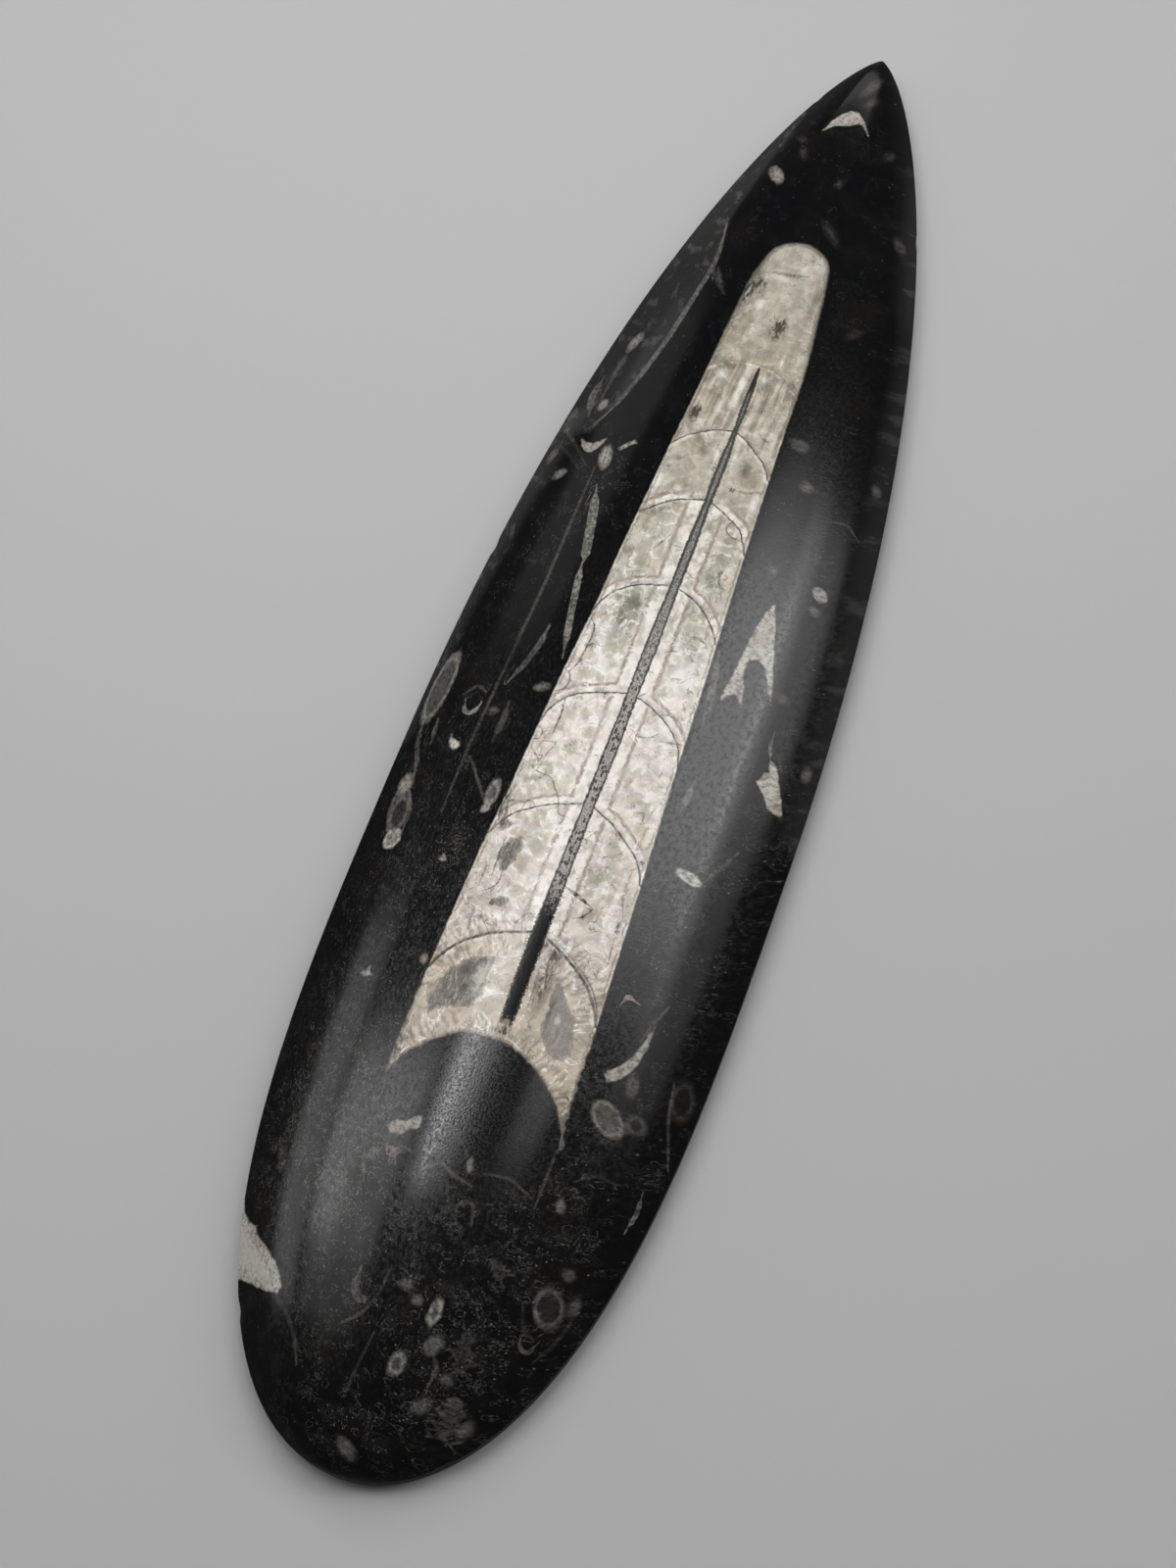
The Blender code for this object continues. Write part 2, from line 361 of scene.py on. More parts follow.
# Fine lines: width in millimetres, tone and points. The tone is how pale the line is, or how
# dark a vein it is in the shell where the tone is below zero.
LINES = [
    # the neighbouring shell's wall, from the point's side down to its cusp
    (0.48, 0.21, (-7.9, 46.6), (-7.65, 44.9), (-7.4, 42.4), (-7.45, 40.3), (-7.7, 38.4), (-8, 36),
     (-8.4, 33.3), (-8.75, 31), (-9.2, 29), (-9.7, 26.9), (-10.2, 25.3), (-10.7, 23.6),
     (-11.3, 22.2), (-12, 21)),
    (0.6, 0.09, (-6.7, 40.4), (-6.3, 39.2), (-5.5, 37.9)),
    (0.42, 0.14, (-12.15, 30), (-12.4, 28.2), (-12.6, 26), (-12.7, 24.6)),
    (0.72, 0.25, (-13.65, 26.7), (-13.9, 24.8), (-13.4, 22.4)),
    (0.3, 0.09, (-15.4, 21.6), (-14.6, 20), (-13, 17.9), (-11.6, 16)),
    (0.3, 0.08, (-14.7, 18.4), (-13.4, 17), (-12.2, 15.6)),
    # the needle, and the long wall line outside it
    (0.85, 0.42, (-9.3, 12.9), (-8.8, 10.8), (-8.3, 8.4), (-7.9, 6.3), (-7.7, 5.1)),
    (0.62, 0.4, (-7.75, 4.8), (-7.45, 2.8), (-7.05, 0.4), (-6.6, -2), (-6.15, -4.4)),
    (0.24, 0.11, (-10.35, 15), (-10.35, 9), (-10.4, 2), (-10.65, -4), (-10.9, -10), (-11.1, -15),
     (-11.1, -21)),
    # slivers on the left
    (0.5, 0.22, (-8.4, -2.4), (-8.6, -4.2), (-9.1, -6), (-9.9, -8)),
    (0.55, 0.1, (-9.1, -10.6), (-9, -12), (-9.1, -13.6)),
    (0.42, 0.55, (-13.1, -10.8), (-12.9, -11.4), (-12.4, -11.7), (-11.9, -11.4), (-11.7, -10.9)),
    (0.22, 0.1, (-13.3, -9.5), (-12.6, -8.9), (-11.8, -9.3)),
    (0.45, 0.18, (-16.6, -12.6), (-16.3, -14.6), (-15.6, -16.4), (-15.3, -17.6)),
    (0.4, 0.2, (-15.1, -12.8), (-14.9, -14.4)),
    (0.3, 0.2, (-16.2, -19.6), (-16.2, -21.4), (-15.7, -23.2)),
    (0.3, 0.22, (-14.7, -20.2), (-14.1, -21.6), (-14, -23.2)),
    (0.18, 0.16, (-9.8, -17), (-8.6, -18.6), (-7.7, -19.8)),
    (0.16, 0.12, (-10.4, -16.2), (-9.4, -17.4)),
    # slivers on the right
    (0.6, 0.2, (6.75, 0), (7, -1.6), (7.25, -3.2), (7.4, -5), (7.5, -6.4)),
    (0.34, 0.12, (11.5, 0.2), (11.8, -2.6), (11.75, -6), (11.6, -10.5), (11.8, -14)),
    (0.34, 0.34, (13.5, -4.7), (13.55, -5.6), (13.9, -6.6)),
    (0.55, 0.2, (8.55, -12.4), (8.5, -13.6), (8.4, -14.6)),
    (0.35, 0.14, (13.8, -16.4), (13, -18.2), (12.4, -19.4)),
    (0.22, 0.08, (12.2, 17.9), (13.2, 18.4), (14.2, 18)),
    (0.34, 0.42, (9.4, -32.4), (9.6, -31.9), (10.2, -32)),
    (0.2, 0.12, (15.5, -37.2), (15.9, -39.4), (16.5, -41.2), (17, -42.6)),
    (0.36, 0.5, (15.95, -46.4), (16, -47.6), (15.7, -49)),
    (0.2, 0.12, (12.8, -31.6), (12.3, -33), (11.9, -34.4)),
    (0.22, 0.1, (11, -47.4), (12, -46.6), (13.3, -46.5)),
    # the shell's wall past the last chamber
    (0.42, 0.5, (8.55, -45), (8.7, -45.5), (8.65, -45.9)),
    (0.16, 0.16, (8.45, -46.2), (8.45, -48), (8.4, -50.4)),
    # the lower edge of the fine mud that fills the living chamber
    (0.16, 0.12, (4.3, -49.8), (5.8, -49.6), (7, -50), (7.8, -50.3)),
    (0.14, 0.1, (0.3, -47.7), (1.4, -48.4), (2.1, -49.2)),
    (0.22, 0.08, (-8.4, -49.9), (-6, -49.7), (-2.8, -50.2)),
    (0.26, 0.2, (0.6, -50.4), (1.6, -50.9), (2.6, -51.1)),
    # below: shell scraps, arcs and the border of the smooth mud under the wedge
    (0.3, 0.18, (-6.1, -51.3), (-5.8, -52.2), (-5.4, -53.2)),
    (0.22, 0.12, (-9, -54.6), (-8.3, -53.7), (-7.2, -53.7), (-6.4, -54.3)),
    (0.26, 0.12, (-4.3, -53), (-3.2, -53.8), (-2.3, -54.4)),
    (0.26, 0.14, (2.2, -53.6), (3, -52.6), (3.8, -52.6), (4.1, -53.6)),
    (0.2, 0.12, (1.5, -52.3), (2.4, -53.6), (3.4, -54.6)),
    (0.26, 0.06, (-12.3, -51.5), (-12.1, -54), (-11.7, -58)),
    (0.5, 0.14, (-13.5, -52.4), (-12.9, -53.4), (-12.6, -54.4)),
    (0.3, 0.14, (-9.4, -63.9), (-8.2, -64.5), (-7, -65.6), (-6.1, -66.8), (-5.5, -68)),
    (0.65, 0.26, (-2.9, -60.4), (-2.8, -61.6), (-2.2, -62.3), (-1.5, -62)),
    (0.22, 0.16, (-0.7, -60), (-0.9, -61.6), (-1.6, -63.2), (-2.5, -64.1)),
    (0.16, 0.1, (-0.2, -64.8), (-0.5, -67), (-0.7, -69)),
    (0.35, 0.18, (4.9, -64.4), (5.4, -65.2), (5.3, -66.2)),
    (0.35, 0.28, (10.7, -60.6), (11, -61.3), (11.6, -61.3), (11.9, -60.7)),
    (0.22, 0.1, (13.8, -58.2), (13.2, -60), (12.4, -61.4)),
    (0.26, 0.12, (10.2, -58.6), (10.7, -59.8), (11.5, -60.2)),
    # pale needles in the shell
    (0.1, 0.55, (-3.3, -10), (-3.1, -11.2), (-2.9, -12.4)),
    (0.22, 0.5, (3.7, -34), (3.55, -35), (3.8, -36)),
    (0.12, 0.5, (4.5, -21.8), (5.3, -21.3), (6, -20.8)),
    # brown veins in the shell
    (0.42, -0.5, (-1.7, 41.2), (-0.6, 41.4), (0.4, 41.5), (1.4, 41.85)),
    (0.16, -0.6, (3.6, 13), (3.35, 12.2), (3.9, 11.6), (4.8, 11.5)),
    (0.28, -0.4, (2.7, 16.3), (3.9, 16.4), (4.7, 16.9), (5.3, 16.9)),
    (0.2, -0.7, (-1.4, 9.3), (-1.7, 8.7), (-2, 8.2)),
    (0.2, -0.7, (4.4, 7.2), (4.55, 6.5), (5.1, 6.3)),
    (0.17, -0.8, (-4.95, -0.45), (-4.5, -1), (-4.3, -2), (-4.4, -3.5), (-4.6, -5), (-4.95, -5.85)),
    (0.18, -0.8, (-4.3, -2.85), (-3.8, -2.85)), (0.12, -0.6, (-4.45, -4.65), (-3.9, -4.75)),
    (0.16, -0.7, (-5.4, -5.9), (-4.9, -6.2), (-4.7, -7), (-4.9, -7.8), (-5.5, -8.1)),
    (0.12, -0.45, (3.8, -7.4), (4.6, -7.15), (5.5, -7.3), (6.2, -8)),
    (0.17, -0.85, (-4.4, -9), (-4.25, -10.2), (-4.3, -12)),
    (0.14, -0.65, (-5.8, -11.7), (-5.2, -12.2), (-5.3, -12.9), (-5.9, -13.1)),
    (0.12, -0.55, (-4.7, -13), (-3.7, -12.9), (-4.1, -14), (-4.35, -15.6)),
    (0.2, -0.75, (-5.3, -14.2), (-4.7, -14.75), (-4.35, -15.3)),
    (0.13, -0.65, (-5.9, -15.2), (-5.2, -15.4), (-4.4, -15.9), (-3, -16.1), (-2.4, -16.9),
     (-1.8, -17.6), (-1.5, -18.4), (-1.2, -19.1), (-0.5, -19.1), (0.2, -19.35)),
    (0.16, -0.7, (-5.9, -19.15), (-5.5, -19.15), (-5.1, -18.9)),
    (0.13, -0.6, (-4.35, -19.4), (-4.2, -18.8), (-3.8, -18.65), (-3.4, -19)),
    (0.24, -0.55, (2.4, -9.8), (2.9, -10), (3.5, -9.8)),
    (0.12, -0.7, (5.2, -9.6), (5.6, -9.5), (6, -9.4)),
    (0.15, -0.8, (-4.75, -23.2), (-4.7, -24.6), (-4.65, -25.7)),
    (0.17, -0.85, (-3.9, -25.6), (-3.85, -26.3), (-4.1, -27), (-4.45, -27.3)),
    (0.14, -0.6, (-5.35, -25.6), (-5.4, -26.6)),
    (0.18, -0.5, (-1.4, -29.8), (-1, -29), (-0.5, -28.3), (0.1, -28.5)),
    (0.14, -0.6, (-6.5, -28.3), (-5.7, -29.3), (-5.2, -29.4), (-4, -30), (-3.4, -30.6)),
    (0.14, -0.6, (-5.1, -29.4), (-4.9, -30.8)),
    (0.1, -0.45, (-5.7, -29), (-4.4, -29.4), (-2.4, -30.3)),
    (0.34, -1, (2, -25.2), (2.9, -25.5), (3.8, -25.85)),
    (0.25, -0.8, (3.6, -27.2), (3.9, -27), (4.1, -26.7)),
    (0.16, -0.5, (6.3, -23.3), (6.4, -24.2), (6.65, -25), (6.9, -25.6)),
    (0.18, -0.8, (7, -28.6), (7.05, -29.2), (7.15, -30)),
    (0.13, -0.5, (4.1, -31), (4.6, -30.4), (5.3, -30.25), (5.8, -30.8)),
    (0.12, -0.4, (6.1, -31.5), (6.6, -30.9), (7.2, -31.1)),
    (0.14, -0.7, (3.3, -30.25), (4.2, -30.75), (5.2, -31.35), (6.1, -32.05), (6.9, -32.85),
     (7.5, -33.8), (7.9, -34.8)),
    (0.12, -0.6, (2.25, -35.4), (2.2, -34), (2.5, -33.2), (3.3, -32.6)),
    (0.14, -0.7, (7.4, -41.9), (7.8, -41.7), (8.1, -42.1), (7.7, -42.3)),
    (0.22, -0.5, (6.9, -11.5), (7, -14.5), (7.1, -17), (7.3, -19)),
]

# Angular scraps of calcite: tone and corners
SCRAPS = [
    # crescent near the point
    (0.6, (-2.6, 61.2), (-2.1, 62.8), (-1.5, 64), (-0.7, 64.9), (0.1, 65), (0.9, 64.1), (1.5, 63),
     (2, 62), (1.2, 63.1), (0.6, 63.4), (0, 62.9), (-0.6, 62.5), (-1.5, 62.3), (-2.2, 61.7)),
    # cusp that closes the neighbouring shell
    (0.52, (-13.1, 19.1), (-12.4, 18.5), (-11.6, 18.2), (-10.9, 18.5), (-10.3, 19), (-10.7, 17.9),
     (-11.3, 17.2), (-12, 17.3), (-12.6, 18.1)),
    # forked scrap right of the shell
    (0.66, (9.7, 7.1), (10.1, 6), (10.5, 4.9), (10.9, 3.2), (11.4, 1.6), (11.9, -0.1), (12.4, -2.2),
     (11.8, -1.1), (11.2, 0.3), (10.6, 1.1), (10, 1.3), (9.5, 1), (9.2, 0.4), (9.3, -0.6),
     (9.7, -1.8), (10.1, -3.7), (9.7, -3.1), (9.2, -2.7), (8.7, -3.2), (8.2, -3.8), (8.3, -2.4),
     (8.5, -0.8), (8.6, 0.8), (8.8, 2.8), (9, 4.6), (9.3, 6)),
    # shard with a notched left side
    (0.8, (14, -6.6), (14.7, -7.1), (15.4, -8.4), (16, -9.6), (16.5, -10.7), (15.7, -10.9),
     (15, -10.8), (14.4, -10), (13.4, -9.2), (13.8, -8.6), (13.7, -8.2), (14.2, -7.9), (14, -7.3)),
    # blob, sparkle and cusp on the left
    (0.85, (-13.2, -13.8), (-13, -14.9), (-12.5, -15.5), (-11.9, -15), (-12.2, -14.6),
     (-12.7, -14.5)),
    (0.55, (-12.6, -36.9), (-12, -36.9), (-11.8, -36.3), (-11.6, -36.9), (-11.2, -37.1),
     (-11.9, -37.3)),
    (0.55, (-9.7, -25.7), (-9.3, -25.3), (-8.9, -25.7), (-9.3, -26)),
    (0.4, (-7.9, -34.8), (-7.4, -34.2), (-7, -34.7), (-7.3, -35.2)),
    (0.5, (-9, 17.7), (-8.4, 18.3), (-7.7, 18.9), (-7.4, 18.5), (-8.1, 18.1), (-8.6, 17.5)),
    # hook on the right
    (0.58, (12.45, -33.2), (12.5, -35), (12.2, -36.7), (11.7, -37.9), (11.1, -38.7), (10.3, -39.3),
     (9.9, -38.5), (10.7, -37.8), (11.4, -36.8), (12, -35.3), (12.2, -34.2)),
    # calcite wedge that runs out of the left side
    (0.68, (-15.9, -56.2), (-14.8, -58.1), (-13.9, -58.9), (-13, -59.2), (-12.4, -60),
     (-11.3, -60.6), (-10.1, -61.5), (-9.3, -62.3), (-8.7, -63.2), (-8.9, -63.8), (-10, -63.85),
     (-11.5, -63.6), (-13.6, -63.2), (-16.5, -63), (-17.5, -59)),
    # scraps in the living chamber
    (0.45, (-5.1, -48.8), (-4.6, -48.2), (-3.5, -48), (-3.4, -47.6), (-2.6, -47.2), (-2.5, -48.3),
     (-3.3, -48.5), (-3.7, -49.2), (-4.7, -49.3)),
    (0.35, (2.2, -49), (2.5, -49.2), (2.8, -49.9), (2.5, -50.3), (2.2, -49.8)),
    (0.3, (10.1, -49.4), (10.6, -49.8), (10.6, -50.4), (10.2, -50.5), (9.9, -49.9)),
]

# Rounded scraps: centre, length, width, angle, tone of the rim and tone of the core
OVALS = [
    (-5.2, 54.2, 2.9, 1.2, -58, 0.36, 0.5), (0.25, 69.3, 3.2, 1.1, 70, 0.07, 0.1),
    (0.9, 66.9, 1.8, 0.8, 60, 0.06, 0.08), (8.7, 51, 1.8, 1.4, -60, 0.06, 0.08),
    (2.2, 48, 2.8, 0.9, -50, 0.04, 0.06), (7.8, 37.8, 1.6, 0.6, 60, 0.04, 0.05),
    (-3.5, 57.6, 1.4, 0.6, -70, 0.06, 0.06), (-4.2, 59.7, 1, 0.6, -40, 0.06, 0.06),
    (4.6, 60.9, 1.3, 0.7, 70, 0.07, 0.07), (1.1, 54.4, 0.9, 0.6, 80, 0.07, 0.07),
    (-8.4, 45.9, 0.9, 0.6, 30, 0.06, 0.06), (-11.9, 31.2, 2.2, 1, 75, 0.32, 0.36),
    (-12.3, 23.1, 1.3, 0.9, 90, 0.36, 0.36), (-15.4, 17.7, 1.5, 0.8, 90, 0.2, 0.2),
    (-13.6, 14.8, 1.2, 1, 40, 0.3, 0.3), (-9.75, 16.6, 2.7, 1.15, -80, 0.38, 0.5),
    (6.8, 23.4, 1.6, 1.2, 0, 0.13, 0.1), (8.7, 19.6, 1.1, 1, 0, 0.17, 0.17),
    (14.6, 23.9, 1, 0.7, 80, 0.16, 0.16), (13.1, 10.3, 1.5, 1.3, 0, 0.42, 0.5),
    (13.1, 8.5, 0.9, 0.8, 0, 0.18, 0.18), (8.5, 10.1, 0.7, 0.6, 0, 0.16, 0.16),
    (13.1, -0.9, 0.9, 0.8, 0, 0.14, 0.14), (17.2, -5.6, 1.3, 0.7, 80, 0.22, 0.22),
    (10.9, -20.1, 2.4, 1, -4, 0.72, 0.62), (-16.35, -8.8, 7.4, 2.2, 88, 0.36, 0.12),
    (-15.95, -10, 2.6, 0.9, 84, 0.42, 0.42), (-16.5, -6.9, 2.8, 1.1, 92, 0.2, 0.22),
    (-6.8, -8.1, 1.3, 0.7, 20, 0.26, 0.26), (-10.2, -11.2, 0.7, 0.6, 0, 0.22, 0.22),
    (-15.65, -19, 2.2, 1.4, 100, 0.34, 0.44), (-15.1, -21.9, 4, 1.7, 98, 0.24, 0.05),
    (-14.7, -24.4, 2.1, 1.6, 90, 0.7, 0.4), (-7.35, -18.8, 2.6, 1.1, 90, 0.42, 0.16),
    (-7.4, -20.3, 1, 0.7, 80, 0.5, 0.5), (11.4, -42, 3.2, 2.2, -32, 0.34, 0.15),
    (12.35, -38.6, 1.7, 0.8, 96, 0.2, 0.08), (13.7, -41.4, 1.6, 1.4, 0, 0.14, 0.02),
    (16.5, -37.6, 3, 1.8, 90, 0.07, 0.01), (3.85, -61.3, 2.1, 0.95, 86, 0.4, 0.12),
    (2.35, -65.9, 1.8, 1.2, 80, 0.32, 0.1), (4.6, -63.6, 1.6, 1.1, 60, 0.18, 0.12),
    (2.2, -60.9, 0.8, 0.7, 0, 0.2, 0.14), (1, -60.1, 0.9, 0.6, 0, 0.18, 0.1),
    (12, -57.6, 2.9, 2.3, 100, 0.2, 0.03), (11.55, -58.2, 1.2, 1, 0, 0.38, 0.16),
    (12.3, -57.2, 0.9, 0.8, 0, 0.38, 0.16), (11.3, -57.1, 0.8, 0.7, 0, 0.34, 0.14),
    (12.6, -54.6, 0.9, 0.8, 0, 0.2, 0.1), (13.8, -56.6, 1.2, 0.7, 80, 0.18, 0.06),
    (0.7, -73, 1.7, 0.9, -30, 0.22, 0.18), (8.9, -68.5, 1.4, 0.8, 60, 0.16, 0.14),
    (5.2, -68.2, 1.4, 0.9, 40, 0.14, 0.1), (6.4, -65.6, 0.9, 0.7, 0, 0.14, 0.12),
    (-5.4, -51.3, 0.8, 0.5, 50, 0.2, 0.2),
]

# Ribbed scraps: centre, width, number of ribs, gap between ribs, angle and tone
RIBBED = [
    (7.6, -68.3, 2.2, 7, 0.5, -4, 0.24), (7, -63.3, 1.2, 6, 0.55, 8, 0.14),
    (7.3, -56.4, 0.9, 5, 0.34, 60, 0.16), (-3.9, -50.7, 0.9, 3, 0.42, 72, 0.42),
]
# How far each rib bows, how much of the gap it fills and how much shorter the end ribs are
RIB_BOW = 0.12
RIB_SHARE = 0.55
RIB_SHORTENING = 0.35


def rib_lines():
    """The ribs of the ribbed scraps, as short arcs in the form of LINES."""
    arcs = []
    for x, y, width, count, gap, angle, tone in RIBBED:
        cosine = math.cos(math.radians(angle))
        sine = math.sin(math.radians(angle))
        for rib in range(count):
            step = (rib - (count - 1) / 2) * gap
            reach = width / 2 * (1 - RIB_SHORTENING * abs(2 * rib / (count - 1) - 1))
            bow = ((-reach, -RIB_BOW), (0, RIB_BOW), (reach, -RIB_BOW))
            points = [(x + a * cosine - (b + step) * sine, y + a * sine + (b + step) * cosine)
                      for a, b in bow]
            arcs.append((gap * RIB_SHARE, tone, *points))
    return arcs


# Zones of fine mud with few grains: feather, how much lighter the mud is, and corners. On the
# dome's edges and slopes the lighter tone is painted sheen.
MUD = [
    # living chamber
    (0.7, 0.004, (-6.4, -45.4), (-5.6, -42.6), (-3.6, -40.9), (-1, -39.8), (1.4, -39.5), (4, -40.5),
     (6.6, -42.4), (8.3, -45.4), (8.3, -49.8), (4, -49.8), (1.8, -48.6), (-1, -48.2), (-3, -46.4),
     (-6.2, -46.8)),
    # neighbouring shell at upper left: its greyer fill, with painted sheen on the left slope
    (0.4, 0.042, (-5, 66), (-7.9, 47.5), (-7.4, 42.4), (-7.7, 38.4), (-8.4, 33.3), (-9.2, 29),
     (-10.2, 25.3), (-11.3, 22.2), (-12.3, 19.6), (-19, 22), (-19, 45)),
    # the left edge below it: painted sheen
    (1.6, 0.058, (-19, 23), (-13.6, 23), (-15.4, 12), (-16.8, 0), (-17.9, -14), (-20, -14)),
    # the right edge: painted sheen
    (1.8, 0.034, (6.8, 62), (9.6, 50), (12.2, 40), (14.6, 22), (16.2, 5), (17.2, -12), (20, -12),
     (20, 60)),
    # the slopes towards the point: painted sheen
    (2.5, 0.022, (-0.5, 75), (-3, 67), (-5.8, 58), (-8, 50), (-10.5, 44), (-15, 45), (-9, 66)),
    (2.5, 0.016, (0.5, 75), (4.5, 65), (8, 54), (10.5, 44), (13, 44), (8, 64)),
    # under the wedge
    (0.6, 0.003, (-14.5, -63.2), (-9.6, -63.9), (-7.4, -65.2), (-6, -66.9), (-5.4, -68.4),
     (-8, -72), (-15, -68)),
    # black mud round the shell's small end
    (3, -0.002, (-7.6, 31), (-10.5, 24), (-9, 20), (-6, 16), (-4.4, 20), (-3.4, 34), (-2.6, 45),
     (4, 44), (7, 20), (12, 38), (6, 58), (0, 66), (-4, 56)),
]

# How thickly shell grit lies in the stone: centre, size across and along, amount
# The spots at (13, -14), (10, -28), (10, 10) and (11, -22) lie in the sheen on the right; the pale
# haze that they raise there is painted sheen.
GRIT = [
    (2, -60, 22, 26, 0.55), (10, -44, 12, 16, 0.45), (11, -58, 8, 14, 0.4), (-10, -30, 10, 16, 0.5),
    (-8.5, -24, 4, 8, 0.6), (-8, -45, 9, 14, 0.35), (13, -14, 9, 16, 0.3), (10, -28, 8, 12, 0.3),
    (-8.5, 14, 4, 8, 0.55), (-12, 8, 6, 12, 0.3), (-14, -16, 6, 16, 0.35), (10, 10, 8, 20, 0.12),
    (0, -71, 12, 5, 0.45), (6, -66, 8, 8, 0.35), (-9, -50, 11, 20, 0.75), (-7, -57, 10, 14, 0.4),
    (11, -22, 6, 16, 0.35), (15, -16, 6, 40, 0.3), (-13, -42, 6, 30, 0.3),
]
GRIT_EVERYWHERE = 0.12

# Where the mud is fine enough to take a mirror polish, in the form of GRIT
POLISHED_MUD = [
    (1.5, -45, 12, 9, 0.9), (1, 52, 12, 24, 0.25),
]


def shell_outline():
    """The shell's edge: down the left, along the last chamber's wall and up the right."""
    last_wall = smooth_line(SEPTA[-1], 3)[1:-1]
    return np.vstack([smooth_line(SHELL_LEFT), last_wall, smooth_line(SHELL_RIGHT)])


def septum_distance(x, y):
    """Distance to the nearest chamber wall, positive on the side of the shell's small end,
    and how far round that wall the nearest point lies."""
    nearest = np.full(x.shape, SEPTUM_REACH)
    side = np.ones(x.shape)
    around = np.zeros(x.shape)
    for points in SEPTA:
        wall = smooth_line(points, 3)
        indices = np.flatnonzero(near(x, y, wall, SEPTUM_REACH))
        px, py = x[indices], y[indices]
        passed = 0.0
        for start, end in zip(wall, wall[1:]):
            distance, _, held = segment_distances(px, py, start, end)
            length = math.dist(start, end)
            closer = distance < nearest[indices]
            nearest[indices[closer]] = distance[closer]
            around[indices[closer]] = (passed + held * length)[closer]
            passed += length
            side[indices[closer]] = np.sign(py - np.interp(px, wall[:, 0], wall[:, 1]))[closer]
    return nearest * side, around


def shell_fields(x, y):
    """Distance into the shell, to its chamber walls and to its tube, by name."""
    outline = shell_outline()
    into_shell = np.full(x.shape, -FAR)
    close = near(x, y, outline, FAR)
    into_shell[close] = np.maximum(inside_distance(x[close], y[close], outline), -FAR)
    height, middle, half = np.array(TUBE).T
    septum, around = septum_distance(x, y)
    return {
        "into_shell": into_shell, "septum": septum, "around": around,
        "tube_offset": x - np.interp(y, height, middle), "tube_half": np.interp(y, height, half),
    }


def line_fields(x, y):
    """The nearest fine line: signed offset, distance, half width and tone."""
    nearest = np.full(x.shape, NEAR_LIMIT)
    offset = np.full(x.shape, NEAR_LIMIT)
    half = np.full(x.shape, 0.1)
    shade = np.zeros(x.shape)
    for width, tone, *points in LINES + rib_lines():
        curve = smooth_line(points)
        indices = np.flatnonzero(near(x, y, curve, LINE_REACH))
        px, py = x[indices], y[indices]
        count = len(curve) - 1
        for number, (start, end) in enumerate(zip(curve, curve[1:])):
            distance, aside, held = segment_distances(px, py, start, end)
            along = (number + held) / count
            taper = np.clip(np.minimum(along, 1 - along) * TAPER_PARTS, TAPER_SHARE, 1)
            closer = distance < nearest[indices]
            chosen = indices[closer]
            nearest[chosen] = distance[closer]
            offset[chosen] = aside[closer]
            half[chosen] = (width / 2 * taper)[closer]
            shade[chosen] = tone
    return offset, nearest, half, shade


def scrap_fields(x, y):
    """The deepest scrap of calcite: distance into it, tone of its rim and of its core."""
    depth = np.full(x.shape, -FAR)
    rim = np.zeros(x.shape)
    core = np.zeros(x.shape)

    def lay(indices, distance, rim_tone, core_tone):
        deeper = distance > depth[indices]
        chosen = indices[deeper]
        depth[chosen] = distance[deeper]
        rim[chosen] = rim_tone
        core[chosen] = core_tone

    for tone, *corners in SCRAPS:
        indices = np.flatnonzero(near(x, y, np.array(corners), FAR))
        lay(indices, inside_distance(x[indices], y[indices], corners), tone, tone)
    for centre_x, centre_y, length, width, angle, rim_tone, core_tone in OVALS:
        middle = np.array([[centre_x, centre_y]])
        indices = np.flatnonzero(near(x, y, middle, length / 2 + OVAL_REACH))
        distance = oval_distance(x[indices], y[indices], centre_x, centre_y, length, width, angle)
        lay(indices, distance, rim_tone, core_tone)
    return depth, rim, core


def soft_spots(x, y, spots):
    """The sum of soft round spots."""
    total = np.zeros(x.shape)
    for centre_x, centre_y, across, along, amount in spots:
        spread = ((x - centre_x) / (across / 2)) ** 2 + ((y - centre_y) / (along / 2)) ** 2
        total += amount * np.exp(-spread)
    return total


def deepest(x, y, outlines):
    """Distance into the nearest of some outlines, positive inside."""
    depth = np.full(x.shape, -FAR)
    for corners in outlines:
        indices = np.flatnonzero(near(x, y, np.array(corners), FAR))
        distance = inside_distance(x[indices], y[indices], corners)
        depth[indices] = np.maximum(depth[indices], distance)
    return depth


def mud_fields(x, y):
    """How smooth the mud is, and how much lighter than the stone: paler mud, and painted sheen on
    the dome's edges and slopes.
    """
    smooth = np.zeros(x.shape)
    lighter_and_sheen = np.zeros(x.shape)
    for feather, lift, *corners in MUD:
        amount = np.clip(inside_distance(x, y, corners) / feather + 0.5, 0, 1)
        smooth = np.maximum(smooth, amount)
        lighter_and_sheen += amount * lift
    return smooth, lighter_and_sheen


def drawing_place(points):
    """Where each vertex falls on the drawing of the markings.

    The drawing floats a little over the stone, as if on a fuller dome, and each vertex
    meets it on the line to the viewpoint that the markings were drawn from.
    """
    x, y, z = points[:, 0], points[:, 1], points[:, 2]
    half = np.maximum(half_width(np.clip(0.5 - y / LENGTH, 0, 1)), 1e-6)
    across = np.clip(np.abs(x) / half, 0, 1)
    rise = (DRAWING_THICKNESS - RIM_HEIGHT) * (2 * half / WIDTH) ** HEIGHT_FOLLOWS_WIDTH
    drawn = RIM_HEIGHT + rise * (1 - across ** DRAWING_FLATNESS) ** DRAWING_STEEPNESS
    lift = np.maximum(drawn - z, 0.0) * (z > RIM_HEIGHT - 0.01)
    share = lift / (VIEWPOINT[2] - z)
    return x + share * (VIEWPOINT[0] - x), y + share * (VIEWPOINT[1] - y)


